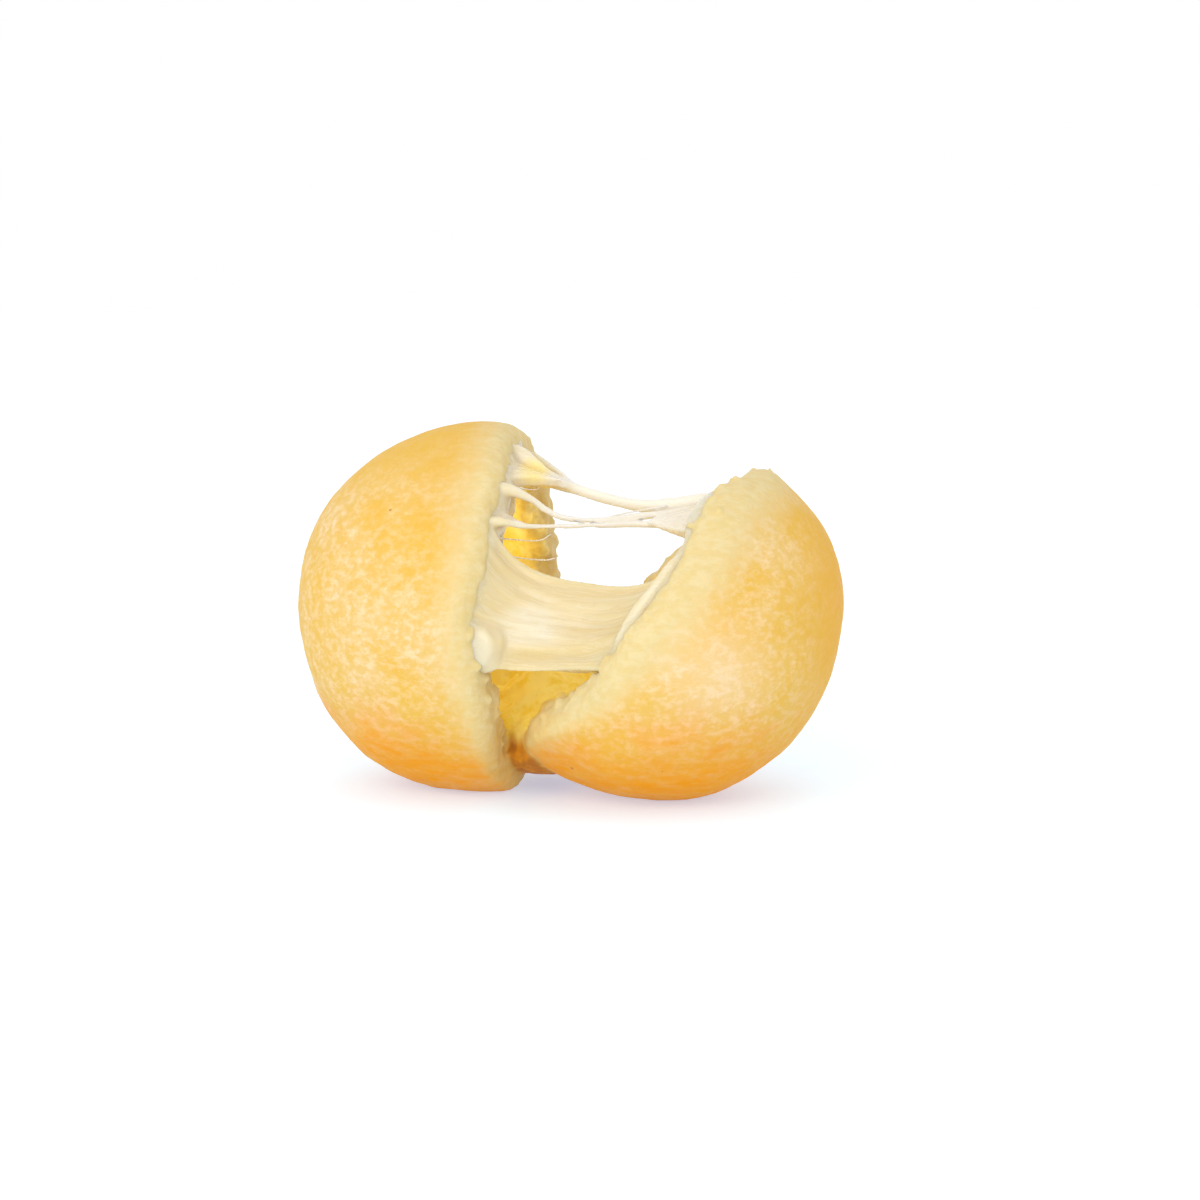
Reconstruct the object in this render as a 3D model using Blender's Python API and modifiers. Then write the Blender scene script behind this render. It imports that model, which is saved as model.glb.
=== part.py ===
"""A cassava cheese bite, pulled open.

A ball of baked dough is torn from the top almost down to the base, and its two lobes are still
joined by the bottom crust. Melted cheese stretches across the tear as a web, a fan and strands.
Metres, +Z up. X runs across the tear and -Y is the side that the bite is looked at from.
The origin is the middle of the underside, where the bite rests.
"""

import math

import bmesh
import bpy
from mathutils import Matrix, Vector, noise

MM = 0.001

# The baked ball and how its lobes lie
LEFT_RADIUS = 22.8 * MM
RIGHT_RADIUS = 22.7 * MM
LEFT_TEAR_SPOT = (-7.9 * MM, 3.0 * MM)
RIGHT_TEAR_SPOT = (9.5 * MM, -3.0 * MM)
LEFT_TURN = math.radians(13)
LEFT_TIP = 0.03
RIGHT_TURN = math.radians(3)
RIGHT_LEAN = math.radians(43)
LEFT_SKIRT = 3.4 * MM
RIGHT_SKIRT = 0.8 * MM
FOOT_SINK = 0.7 * MM

# The torn lip and the hollow behind it
CRUST_EDGE_HEIGHT = -1.2 * MM
LEFT_LIP_RISE = 2.8 * MM
RIGHT_LIP_RISE = 4.2 * MM
LIP_WIDTH = 6.4 * MM
HOLLOW_DEPTH = 11.0 * MM

# How far the tear runs past its flat face, in millimetres at angles round the opening
LEFT_RIP = ((0, 0.0), (50, 1.9), (90, 0.4), (180, 0.0), (270, 0.6), (310, 0.8))
RIGHT_RIP = ((0, 0.0), (46, 2.0), (88, 0.2), (135, -2.2), (180, -2.0), (270, 0.6), (300, 1.2),
             (330, -0.3))

# How high the soft lip stands past the crust's edge, as a share of its rise, at the same angles
LEFT_LIP = ((0, 1.0), (90, 1.0), (180, 0.8), (270, 0.7))
RIGHT_LIP = ((0, 1.0), (50, 1.25), (90, 0.9), (180, 0.8), (270, 0.5), (300, 0.5), (335, 0.9))

# Unevenness of the baked and torn surfaces
LEFT_SEED = 394.05
RIGHT_SEED = 261.96
CRUST_SWELL = 0.55 * MM
CRUST_SWELL_SIZE = 15.0 * MM
FINE_SWELL_SIZE = 6.0 * MM
FINE_SWELL_SHARE = 0.35
LIP_CRAG = 0.8 * MM
LIP_CRAG_TURNS = 2.6
FINE_CRAG_TURNS = 7.8
FINE_CRAG_SHARE = 0.5
CRUMB_CRAG = 1.4 * MM
CRUMB_CRAG_SIZE = 5.5 * MM

# Where each unevenness starts and is whole: heights over the tear face, distances from the opening
# axis and distances from the dome's centre, the last two as shares of the lobe's radius
CRUST_FROM_DOME = (0.9, 0.97)
CRUST_ENDS_AT = (-1.5 * MM, 1.0 * MM)
LIP_HEIGHTS = (-6.0 * MM, 0.5 * MM)
LIP_FROM_AXIS = (0.45, 0.75)
HOLLOW_ENDS_FROM_AXIS = (0.72, 0.86)
HOLLOW_ENDS_FROM_DOME = (0.80, 0.88)

# The bottom crust and crumb that still join the lobes
HINGE_CENTRE = Vector((-3.0, 3.6, 6.6)) * MM
HINGE_HALF_SIZE = Vector((9.0, 12.2, 5.0)) * MM
HINGE_CROWN = 1.7
HINGE_CROWN_SPAN = (-0.1, 0.6)
HINGE_CRAG = 1.1 * MM
HINGE_CRAG_SPAN = (-0.4, 0.3)
HINGE_CRAG_TURNS = 2.2
HINGE_CRAG_MEAN = 0.5

# Sheets of melted cheese: thickness at the left end, in the middle and at the right end
WEB_THICKNESS = (3.6 * MM, 1.5 * MM, 3.2 * MM)
FAN_THICKNESS = (0.8 * MM, 1.0 * MM, 2.0 * MM)
ROOT_THICKNESS = (2.2 * MM, 1.3 * MM, 0.8 * MM)
WEB_SAG = (4.7 * MM, -0.7 * MM)
FAN_SAG = (1.0 * MM, -0.2 * MM)
ROOT_SAG = (0.8 * MM, 1.0 * MM)
WEB_BOW = 1.6 * MM
BOW_SPAN = (0.2, 0.8)
SAG_SHARPNESS = 3
THINNING = 3

# Places on a lip: angle round the opening in degrees, then radius and height in millimetres
WEB_LEFT_EDGE = ((35, 19.0, 0.4), (-12, 19.4, 0.4))
WEB_RIGHT_EDGE = ((27, 18.8, 1.6), (-20, 18.8, 1.4))
FAN_RIGHT_EDGE = ((84, 19.6, 0.4), (37, 19.0, 2.2))
ROOT_LEFT_EDGE = ((88, 18.8, 0.2), (56, 18.8, 0.4))
BEAD_PLACE = (-6, 19.9, 1.6)
BEAD_HALF_SIZE = Vector((1.7, 2.9, 1.8)) * MM

# Free places along the fan and the strands
FAN_LEFT_EDGE = (Vector((8.4, -6.3, 35.6)) * MM, Vector((9.0, -9.3, 33.8)) * MM)
ROOT_RIGHT_EDGE = (Vector((0.6, -3.6, 37.5)) * MM, Vector((0.6, -3.8, 37.3)) * MM)
UPPER_PLACES = (
    Vector((-6.2, -1.4, 40.8)) * MM,
    Vector((-2.8, -2.6, 38.7)) * MM,
    Vector((-0.4, -3.4, 37.7)) * MM,
    Vector((4.1, -4.8, 36.4)) * MM,
    Vector((8.8, -6.4, 35.6)) * MM,
    Vector((14.1, -7.0, 36.0)) * MM,
    Vector((19.5, -7.0, 36.7)) * MM,
    Vector((22.2, -6.4, 37.5)) * MM,
)
SLANTED_PLACES = (
    Vector((-7.6, -10.2, 37.9)) * MM,
    Vector((-4.9, -10.0, 36.8)) * MM,
    Vector((-3.1, -9.8, 35.5)) * MM,
    Vector((-0.8, -9.8, 34.5)) * MM,
    Vector((3.4, -9.5, 34.2)) * MM,
    Vector((9.3, -8.2, 34.8)) * MM,
)
LEVEL_PLACES = (
    Vector((-8.3, -13.4, 34.4)) * MM,
    Vector((-5.5, -12.6, 33.8)) * MM,
    Vector((-1.9, -11.6, 33.7)) * MM,
    Vector((3.4, -10.3, 33.7)) * MM,
    Vector((9.3, -9.4, 33.7)) * MM,
    Vector((14.8, -12.0, 33.4)) * MM,
)
UPPER_WIDTH = 1.3 * MM
SLANTED_WIDTH = 1.0 * MM
LEVEL_WIDTH = 0.9 * MM
STRAND_FLARE = 0.9

# Crescents of cheese on the hollows' walls: a span of angles, the middle and the half size
LEFT_LINING_SPAN = (-42, 106)
RIGHT_LINING_SPAN = (-40, 110)
LEFT_LINING_MIDDLE = (16.6 * MM, -1.2 * MM)
RIGHT_LINING_MIDDLE = (16.6 * MM, -0.6 * MM)
LINING_HALF_SIZE = (1.9 * MM, 3.2 * MM)
LINING_END_SIZE = 0.35
LINING_ROUNDNESS = 0.6
CHEESE_GAP = 0.3 * MM
SEAT_CLEARANCE = 1.15

DOME_STEPS = 15
LIP_STEPS = 9
HOLLOW_STEPS = 9
TURN_STEPS = 52
LINING_SIDES = 10
LINING_STEPS = 18
HINGE_SUBDIVISIONS = 4
BEAD_SUBDIVISIONS = 3
WEB_GRID = (10, 20)
FAN_GRID = (8, 12)
ROOT_GRID = (6, 8)
WELD = 0.001 * MM
SLIVER = 0.03 * MM

CRUST_COLOUR = (0.90, 0.58, 0.20, 1.0)
CHEESE_COLOUR = (0.86, 0.76, 0.50, 1.0)
CRUST_ROUGHNESS = 0.55
CHEESE_ROUGHNESS = 0.3


def smooth_step(low, high, value):
    share = min(1.0, max(0.0, (value - low) / (high - low)))
    return share * share * (3 - 2 * share)


def between_marks(marks, angle):
    """A smooth value round a full turn through marks of (angle, value), the first one at 0."""
    turn = angle % 360
    following = marks[1:] + ((360, marks[0][1]),)
    for (low, low_value), (high, high_value) in zip(marks, following):
        if turn <= high:
            return low_value + (high_value - low_value) * smooth_step(low, high, turn)
    return marks[0][1]


class Lobe:
    """One side of the torn ball. Heights are measured from its tear face along the opening axis,
    and angles in degrees round that axis, from the near side (0) upwards (90)."""

    def __init__(self, name, spot, opening, radius, skirt, lip_rise, lip, rip, seed):
        self.name = name
        self.opening = opening.normalized()
        self.radius = radius
        self.skirt = skirt
        self.lip_rise = lip_rise
        self.lip = lip
        self.rip = rip
        self.seed = Vector((seed, seed * 0.7, seed * 1.3))
        height = radius - FOOT_SINK + skirt * self.opening.z
        self.centre = Vector((spot[0], spot[1], height))
        self.dome_centre = self.centre - skirt * self.opening
        near = Vector((0, -1, 0))
        self.near = (near - near.dot(self.opening) * self.opening).normalized()
        across = self.opening.cross(self.near)
        self.up = across if across.z > 0 else -across

    def outward(self, angle):
        turn = math.radians(angle)
        return math.cos(turn) * self.near + math.sin(turn) * self.up

    def point(self, angle, radius, height):
        return self.centre + radius * self.outward(angle) + height * self.opening

    def cylindrical(self, point):
        """The angle, the radius and the height of a point."""
        offset = point - self.centre
        height = offset.dot(self.opening)
        offset -= height * self.opening
        angle = math.degrees(math.atan2(offset.dot(self.up), offset.dot(self.near)))
        return angle, offset.length, height

    def edge_rise(self, angle):
        """How far the uneven tear stands past its flat face in one direction."""
        outward = self.outward(angle)
        broad = noise.noise(outward * LIP_CRAG_TURNS + self.seed)
        small = noise.noise(outward * FINE_CRAG_TURNS + self.seed * 3)
        return between_marks(self.rip, angle) * MM + LIP_CRAG * (broad + FINE_CRAG_SHARE * small)

    def on_lip(self, angle, radius, height):
        """A place that moves with the uneven lip."""
        return self.point(angle, radius, height + self.edge_rise(angle))

    def frame(self):
        """The matrix that stands a shape turned about +Z on the tear face."""
        side = self.opening.cross(self.near)
        rotation = Matrix((self.near, side, self.opening)).transposed()
        return Matrix.Translation(self.centre) @ rotation.to_4x4()


def make_lobes():
    """The left lobe opens to the right and a little to the near side; the right one up to the left."""
    left_opening = Vector((math.cos(LEFT_TURN), -math.sin(LEFT_TURN), LEFT_TIP))
    right_opening = Vector((
        -math.cos(RIGHT_LEAN) * math.cos(RIGHT_TURN),
        -math.cos(RIGHT_LEAN) * math.sin(RIGHT_TURN),
        math.sin(RIGHT_LEAN),
    ))
    left = Lobe("left_lobe", LEFT_TEAR_SPOT, left_opening, LEFT_RADIUS, LEFT_SKIRT,
                LEFT_LIP_RISE, LEFT_LIP, LEFT_RIP, LEFT_SEED)
    right = Lobe("right_lobe", RIGHT_TEAR_SPOT, right_opening, RIGHT_RADIUS, RIGHT_SKIRT,
                 RIGHT_LIP_RISE, RIGHT_LIP, RIGHT_RIP, RIGHT_SEED)
    return left, right


def new_object(name, mesh, collection):
    made = bpy.data.objects.new(name, mesh)
    collection.objects.link(made)
    return made


def object_of(name, shape, collection):
    """A mesh object of a bmesh, which is used up."""
    mesh = bpy.data.meshes.new(name)
    shape.to_mesh(mesh)
    shape.free()
    return new_object(name, mesh, collection)


def evaluated_copy(source, name, collection):
    """A plain mesh object of what an object's modifiers or curve make, with its seams welded."""
    bpy.context.view_layer.update()
    graph = bpy.context.evaluated_depsgraph_get()
    mesh = bpy.data.meshes.new_from_object(source.evaluated_get(graph))
    mesh.transform(source.matrix_world)
    shape = bmesh.new()
    shape.from_mesh(mesh)
    bmesh.ops.remove_doubles(shape, verts=shape.verts, dist=WELD)
    bmesh.ops.recalc_face_normals(shape, faces=shape.faces)
    bpy.data.meshes.remove(mesh)
    bpy.data.objects.remove(source)
    return object_of(name, shape, collection)


def drop_loose_bits(made):
    """Keeps the largest body of a mesh and removes the flakes that a cut has freed, also one that
    only touches it along an edge."""
    shape = bmesh.new()
    shape.from_mesh(made.data)
    bmesh.ops.dissolve_degenerate(shape, dist=SLIVER, edges=shape.edges)
    bmesh.ops.triangulate(shape, faces=shape.faces)
    waiting = set(shape.faces)
    bodies = []
    while waiting:
        front = [waiting.pop()]
        body = list(front)
        while front:
            closed_edges = [edge for edge in front.pop().edges if edge.is_manifold]
            for face in {face for edge in closed_edges for face in edge.link_faces} & waiting:
                waiting.remove(face)
                body.append(face)
                front.append(face)
        bodies.append(body)
    bodies.sort(key=len)
    for body in bodies[:-1]:
        bmesh.ops.delete(shape, geom=body, context="FACES")
    shape.to_mesh(made.data)
    shape.free()


def lobe_profile(lobe):
    """Radius and height, from the hollow's floor over the lip and down the dome to its far pole."""
    rim_height = CRUST_EDGE_HEIGHT
    rim_radius = math.sqrt(lobe.radius ** 2 - (rim_height + lobe.skirt) ** 2)
    inner_radius = rim_radius - LIP_WIDTH
    points = []
    for step in range(HOLLOW_STEPS):
        angle = math.pi / 2 * step / HOLLOW_STEPS
        points.append((inner_radius * math.sin(angle), rim_height - HOLLOW_DEPTH * math.cos(angle)))
    for step in range(LIP_STEPS):
        angle = math.pi * (1 - step / LIP_STEPS)
        radius = rim_radius - LIP_WIDTH / 2 * (1 - math.cos(angle))
        points.append((radius, rim_height + lobe.lip_rise * math.sin(angle)))
    start = math.acos((rim_height + lobe.skirt) / lobe.radius)
    for step in range(DOME_STEPS + 1):
        angle = start + (math.pi - start) * step / DOME_STEPS
        radius = lobe.radius * math.sin(angle) if step < DOME_STEPS else 0.0
        points.append((radius, lobe.radius * math.cos(angle) - lobe.skirt))
    return points


def swell(lobe, point):
    """How far the baked crust stands proud of a true ball at a point."""
    broad = noise.noise(point / CRUST_SWELL_SIZE + lobe.seed)
    small = noise.noise(point / FINE_SWELL_SIZE + lobe.seed * 2)
    return CRUST_SWELL * (broad + FINE_SWELL_SHARE * small)


def roughen(lobe, point):
    """Moves a point of the turned shape to where the uneven dough has it."""
    angle, distance, height = lobe.cylindrical(point)
    spread = distance / lobe.radius
    from_dome = point - lobe.dome_centre
    on_crust = smooth_step(*CRUST_FROM_DOME, from_dome.length / lobe.radius)
    on_crust *= 1 - smooth_step(*CRUST_ENDS_AT, height)
    moved = point + on_crust * swell(lobe, point) * from_dome.normalized()
    on_lip = smooth_step(*LIP_HEIGHTS, height) * smooth_step(*LIP_FROM_AXIS, spread)
    moved += on_lip * lobe.edge_rise(angle) * lobe.opening
    past_crust = max(0.0, height - CRUST_EDGE_HEIGHT)
    moved += past_crust * (between_marks(lobe.lip, angle) - 1) * lobe.opening
    in_hollow = 1 - smooth_step(*HOLLOW_ENDS_FROM_AXIS, spread)
    in_hollow *= 1 - smooth_step(*HOLLOW_ENDS_FROM_DOME, from_dome.length / lobe.radius)
    crag = noise.turbulence(point / CRUMB_CRAG_SIZE + lobe.seed, 2, False)
    moved += in_hollow * CRUMB_CRAG * crag * (lobe.opening - lobe.outward(angle))
    return moved


def make_lobe(lobe, collection):
    """Turns the profile about the opening axis, then makes it uneven and flattens its foot."""
    points = lobe_profile(lobe)
    mesh = bpy.data.meshes.new(lobe.name)
    edges = [(index, index + 1) for index in range(len(points) - 1)]
    mesh.from_pydata([(radius, 0, height) for radius, height in points], edges, [])
    turned = new_object(lobe.name + "_turned", mesh, collection)
    screw = turned.modifiers.new("Turn", "SCREW")
    screw.steps = TURN_STEPS
    screw.render_steps = TURN_STEPS
    screw.use_merge_vertices = True
    screw.merge_threshold = WELD
    turned.matrix_world = lobe.frame()
    made = evaluated_copy(turned, lobe.name, collection)
    for vertex in made.data.vertices:
        vertex.co = roughen(lobe, vertex.co.copy())
        vertex.co.z = max(vertex.co.z, 0.0)
    return made


def make_hinge(collection):
    """The crust and crumb between the lobes, as a flattened lump that reaches into both."""
    shape = bmesh.new()
    bmesh.ops.create_icosphere(shape, subdivisions=HINGE_SUBDIVISIONS, radius=1.0)
    for vertex in shape.verts:
        outward = vertex.co.copy()
        crag = noise.turbulence(outward * HINGE_CRAG_TURNS, 2, False) - HINGE_CRAG_MEAN
        place = Vector(a * b for a, b in zip(outward, HINGE_HALF_SIZE))
        place.z *= 1 + (HINGE_CROWN - 1) * smooth_step(*HINGE_CROWN_SPAN, outward.z)
        place += HINGE_CRAG * crag * smooth_step(*HINGE_CRAG_SPAN, outward.z) * outward
        vertex.co = place + HINGE_CENTRE
    return object_of("hinge", shape, collection)


def join(name, first, others, collection):
    """One solid of several that overlap, by a Boolean union on a collection."""
    group = bpy.data.collections.new(name + "_pieces")
    bpy.context.scene.collection.children.link(group)
    for piece in others:
        collection.objects.unlink(piece)
        group.objects.link(piece)
    union = first.modifiers.new("Join", "BOOLEAN")
    union.operation = "UNION"
    union.operand_type = "COLLECTION"
    union.collection = group
    union.solver = "EXACT"
    made = evaluated_copy(first, name, collection)
    for piece in others:
        bpy.data.objects.remove(piece)
    bpy.data.collections.remove(group)
    return made


def lip_edge(lobe, edge):
    """A function of a share from 0 to 1 that runs along the lip between two places on it."""
    def place(share):
        angle, radius, height = (a + (b - a) * share for a, b in zip(*edge))
        return lobe.on_lip(angle, radius * MM, height * MM)
    return place


def free_edge(edge):
    """A function of a share from 0 to 1 that runs straight between two free places."""
    return lambda share: edge[0].lerp(edge[1], share)


def make_sheet(name, left_edge, right_edge, sag, bow, thickness, grid, collection):
    """A stretched sheet between two edges, each a function of a share from its top to its bottom.
    sag pulls in the top and the bottom edge at mid span, and bow moves the middle away from the
    near side. thickness is that of the left end, the middle and the right end."""
    rows, columns = grid
    shape = bmesh.new()
    bmesh.ops.create_grid(shape, x_segments=columns, y_segments=rows, size=0.5)
    weights = shape.verts.layers.float.new("thickness")
    for vertex in shape.verts:
        across, down = vertex.co.x + 0.5, 0.5 - vertex.co.y
        span = 1 - abs(2 * across - 1) ** SAG_SHARPNESS
        place = left_edge(down).lerp(right_edge(down), across)
        place.z += span * (sag[1] * down - sag[0] * (1 - down))
        place.y += bow * span * math.sin(math.pi * (BOW_SPAN[0] + (BOW_SPAN[1] - BOW_SPAN[0]) * down))
        vertex.co = place
        wide = thickness[1]
        wide += (thickness[0] - thickness[1]) * (1 - across) ** THINNING
        wide += (thickness[2] - thickness[1]) * across ** THINNING
        vertex[weights] = wide / max(thickness)
    sheet = object_of(name + "_sheet", shape, collection)
    group = sheet.vertex_groups.new(name="thickness")
    for index, value in enumerate(sheet.data.attributes["thickness"].data):
        group.add([index], value.value, "REPLACE")
    solid = sheet.modifiers.new("Solidify", "SOLIDIFY")
    solid.thickness = max(thickness)
    solid.offset = 0
    solid.vertex_group = "thickness"
    return evaluated_copy(sheet, name, collection)


def make_strand(name, places, width, collection):
    """A drawn-out strand through several places, thinnest in the middle."""
    curve = bpy.data.curves.new(name, "CURVE")
    curve.dimensions = "3D"
    curve.bevel_depth = width / 2
    curve.bevel_resolution = 2
    curve.use_fill_caps = True
    curve.resolution_u = 4
    spline = curve.splines.new("BEZIER")
    spline.bezier_points.add(len(places) - 1)
    for index, (point, place) in enumerate(zip(spline.bezier_points, places)):
        point.co = place
        point.handle_left_type = point.handle_right_type = "AUTO"
        point.radius = 1 + STRAND_FLARE * abs(2 * index / (len(places) - 1) - 1) ** 2
    made = new_object(name + "_curve", curve, collection)
    return evaluated_copy(made, name, collection)


def make_bead(lobe, collection):
    """A rounded bead of cheese that lies over the lip."""
    shape = bmesh.new()
    bmesh.ops.create_icosphere(shape, subdivisions=BEAD_SUBDIVISIONS, radius=1.0)
    bmesh.ops.scale(shape, vec=BEAD_HALF_SIZE, verts=shape.verts)
    angle, radius, height = BEAD_PLACE
    outward = lobe.outward(angle)
    along = lobe.opening.cross(outward)
    turned = Matrix((outward, along, lobe.opening)).transposed().to_4x4()
    place = lobe.on_lip(angle, radius * MM, height * MM)
    bmesh.ops.transform(shape, matrix=Matrix.Translation(place) @ turned, verts=shape.verts)
    return object_of("bead", shape, collection)


def make_lining(name, lobe, span, middle, collection):
    """A crescent of cheese on the wall of a lobe's hollow: an oval turned part of the way round
    the opening axis, thinning towards both ends."""
    shape = bmesh.new()
    ring = []
    for side in range(LINING_SIDES):
        turn = 2 * math.pi * side / LINING_SIDES
        radius = middle[0] + LINING_HALF_SIZE[0] * math.cos(turn)
        height = middle[1] + LINING_HALF_SIZE[1] * math.sin(turn)
        ring.append(shape.verts.new(lobe.point(span[0], radius, height)))
    start = shape.faces.new(ring)
    sense = 1 if lobe.near.cross(lobe.up).dot(lobe.opening) > 0 else -1
    bmesh.ops.spin(
        shape,
        geom=[start] + list(start.edges) + ring,
        cent=lobe.centre,
        axis=lobe.opening,
        angle=sense * math.radians(span[1] - span[0]),
        steps=LINING_STEPS,
        use_duplicate=False,
    )
    for vertex in shape.verts:
        angle, radius, height = lobe.cylindrical(vertex.co)
        share = min(1.0, max(0.0, (angle - span[0]) / (span[1] - span[0])))
        size = LINING_END_SIZE + (1 - LINING_END_SIZE) * math.sin(math.pi * share) ** LINING_ROUNDNESS
        radius = middle[0] + (radius - middle[0]) * size
        vertex.co = lobe.on_lip(angle, radius, middle[1] + (height - middle[1]) * size)
    bmesh.ops.recalc_face_normals(shape, faces=shape.faces)
    return object_of(name, shape, collection)


def make_cheese(left, right, collection):
    """The web, the fan and the strands, with the linings that they are drawn out of, as one solid."""
    web = make_sheet(
        "web", lip_edge(left, WEB_LEFT_EDGE), lip_edge(right, WEB_RIGHT_EDGE),
        WEB_SAG, WEB_BOW, WEB_THICKNESS, WEB_GRID, collection)
    fan = make_sheet(
        "fan", free_edge(FAN_LEFT_EDGE), lip_edge(right, FAN_RIGHT_EDGE),
        FAN_SAG, 0.0, FAN_THICKNESS, FAN_GRID, collection)
    root = make_sheet(
        "upper_root", lip_edge(left, ROOT_LEFT_EDGE), free_edge(ROOT_RIGHT_EDGE),
        ROOT_SAG, 0.0, ROOT_THICKNESS, ROOT_GRID, collection)
    pieces = [
        fan,
        root,
        make_strand("upper_strand", UPPER_PLACES, UPPER_WIDTH, collection),
        make_strand("slanted_strand", SLANTED_PLACES, SLANTED_WIDTH, collection),
        make_strand("level_strand", LEVEL_PLACES, LEVEL_WIDTH, collection),
        make_bead(left, collection),
        make_lining("left_lining", left, LEFT_LINING_SPAN, LEFT_LINING_MIDDLE, collection),
        make_lining("right_lining", right, RIGHT_LINING_SPAN, RIGHT_LINING_MIDDLE, collection),
    ]
    return join("melted_cheese", web, pieces, collection)


def cut_seat(dough, cheese, cutters, collection):
    """Cuts the dough back by a small gap wherever the cheese has melted into it."""
    mesh = cheese.data.copy()
    for vertex, normal in zip(mesh.vertices, [v.normal.copy() for v in cheese.data.vertices]):
        vertex.co += CHEESE_GAP * SEAT_CLEARANCE * normal
    seat = new_object("cheese_seat", mesh, cutters)
    seat.hide_render = True
    seat.display_type = "WIRE"
    cut = dough.modifiers.new("Seat", "BOOLEAN")
    cut.operation = "DIFFERENCE"
    cut.object = seat
    cut.solver = "MANIFOLD"
    made = evaluated_copy(dough, "torn_dough", collection)
    drop_loose_bits(made)
    return made


def give_material(made, colour, roughness):
    material = bpy.data.materials.new(made.name)
    material.use_nodes = True
    shader = material.node_tree.nodes["Principled BSDF"]
    shader.inputs["Base Color"].default_value = colour
    shader.inputs["Roughness"].default_value = roughness
    shader.inputs["Metallic"].default_value = 0.0
    made.data.materials.clear()
    made.data.materials.append(material)
    made.data.shade_smooth()


def stand_on_origin(pieces, name, collection):
    """Parents the pieces to an empty that brings the middle of their underside to the origin."""
    corners = [Vector(corner) for piece in pieces for corner in piece.bound_box]
    low = [min(corner[axis] for corner in corners) for axis in range(3)]
    high = [max(corner[axis] for corner in corners) for axis in range(3)]
    stand = new_object(name, None, collection)
    stand.location = (-(low[0] + high[0]) / 2, -(low[1] + high[1]) / 2, -low[2])
    for piece in pieces:
        piece.parent = stand


def main():
    for old in list(bpy.data.objects):
        bpy.data.objects.remove(old)
    collection = bpy.data.collections.new("cassava_cheese_bite")
    cutters = bpy.data.collections.new("cutters")
    bpy.context.scene.collection.children.link(collection)
    bpy.context.scene.collection.children.link(cutters)
    left, right = make_lobes()
    pieces = [make_lobe(lobe, collection) for lobe in (left, right)]
    dough = join("dough", pieces[0], [pieces[1], make_hinge(collection)], collection)
    cheese = make_cheese(left, right, collection)
    dough = cut_seat(dough, cheese, cutters, collection)
    give_material(dough, CRUST_COLOUR, CRUST_ROUGHNESS)
    give_material(cheese, CHEESE_COLOUR, CHEESE_ROUGHNESS)
    stand_on_origin([dough, cheese], "cassava_cheese_bite_stand", collection)


main()
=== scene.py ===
"""The looks of a cassava cheese bite, pulled open.

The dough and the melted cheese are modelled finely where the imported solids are, and given their
finishes. Metres, +Z up. X runs across the tear and -Y is the side the bite is looked at from.
"""

import math
import random

import bmesh
import bpy
import numpy as np
from bpy.props import FloatProperty, FloatVectorProperty, IntProperty, PointerProperty
from mathutils import Matrix, Vector, geometry, noise
from mathutils.kdtree import KDTree


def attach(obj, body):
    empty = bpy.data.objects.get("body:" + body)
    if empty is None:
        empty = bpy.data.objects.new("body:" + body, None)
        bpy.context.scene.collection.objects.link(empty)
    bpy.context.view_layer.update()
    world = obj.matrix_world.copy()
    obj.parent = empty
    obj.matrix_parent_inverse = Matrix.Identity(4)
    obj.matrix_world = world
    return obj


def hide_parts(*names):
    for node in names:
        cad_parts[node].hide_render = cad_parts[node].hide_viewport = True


bl_info = {
    "name": "Cassava Cheese Bite",
    "version": (1, 0, 0),
    "blender": (4, 5, 0),
    "location": "View3D > Sidebar > Cheese Bite",
    "description": "Makes a baked cassava cheese bite, pulled open, with melted cheese in the tear",
    "category": "Object",
}

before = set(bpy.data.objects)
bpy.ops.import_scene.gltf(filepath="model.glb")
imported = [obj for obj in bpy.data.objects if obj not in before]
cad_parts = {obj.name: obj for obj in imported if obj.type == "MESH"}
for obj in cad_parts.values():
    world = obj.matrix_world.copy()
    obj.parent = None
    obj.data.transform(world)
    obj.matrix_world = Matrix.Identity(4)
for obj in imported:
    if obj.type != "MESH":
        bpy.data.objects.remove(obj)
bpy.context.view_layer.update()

MM = 0.001

# Lengths below are in the numbers of the part's source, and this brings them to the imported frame
STAND_SHIFT = Vector((0.4819, -0.4964, 0.0)) * MM

# The baked ball and how its lobes lie, as in the solids but for a smoother lip
LEFT_RADIUS = 22.8 * MM
RIGHT_RADIUS = 22.7 * MM
LEFT_TEAR_SPOT = (-7.9 * MM, 3.0 * MM)
RIGHT_TEAR_SPOT = (9.5 * MM, -3.0 * MM)
LEFT_TURN = math.radians(13)
LEFT_TIP = 0.03
RIGHT_TURN = math.radians(3)
RIGHT_LEAN = math.radians(43)
LEFT_SKIRT = 3.4 * MM
RIGHT_SKIRT = 0.8 * MM
FOOT_SINK = 0.7 * MM
CRUST_EDGE_HEIGHT = -1.2 * MM
LEFT_LIP_RISE = 2.8 * MM
RIGHT_LIP_RISE = 4.2 * MM
LIP_WIDTH = 6.4 * MM
HOLLOW_DEPTH = 11.0 * MM
LEFT_RIP = ((0, 0.0), (50, 1.9), (90, 0.4), (180, 0.0), (270, 0.6), (310, 0.8))
RIGHT_RIP = ((0, 0.0), (46, 2.0), (88, 0.2), (135, -2.2), (180, -2.0), (270, 0.6), (300, 1.2),
             (330, -0.3))
LEFT_LIP = ((0, 1.0), (90, 1.0), (180, 0.8), (270, 0.7))
RIGHT_LIP = ((0, 1.0), (50, 1.25), (90, 0.9), (180, 0.8), (270, 0.5), (300, 0.5), (335, 0.9))
LEFT_SEED = 394.05
RIGHT_SEED = 261.96
CRUST_SWELL = 0.55 * MM
CRUST_SWELL_SIZE = 15.0 * MM
FINE_SWELL_SIZE = 6.0 * MM
FINE_SWELL_SHARE = 0.35
LIP_CRAG = 0.8 * MM
LIP_CRAG_TURNS = 2.6
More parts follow.
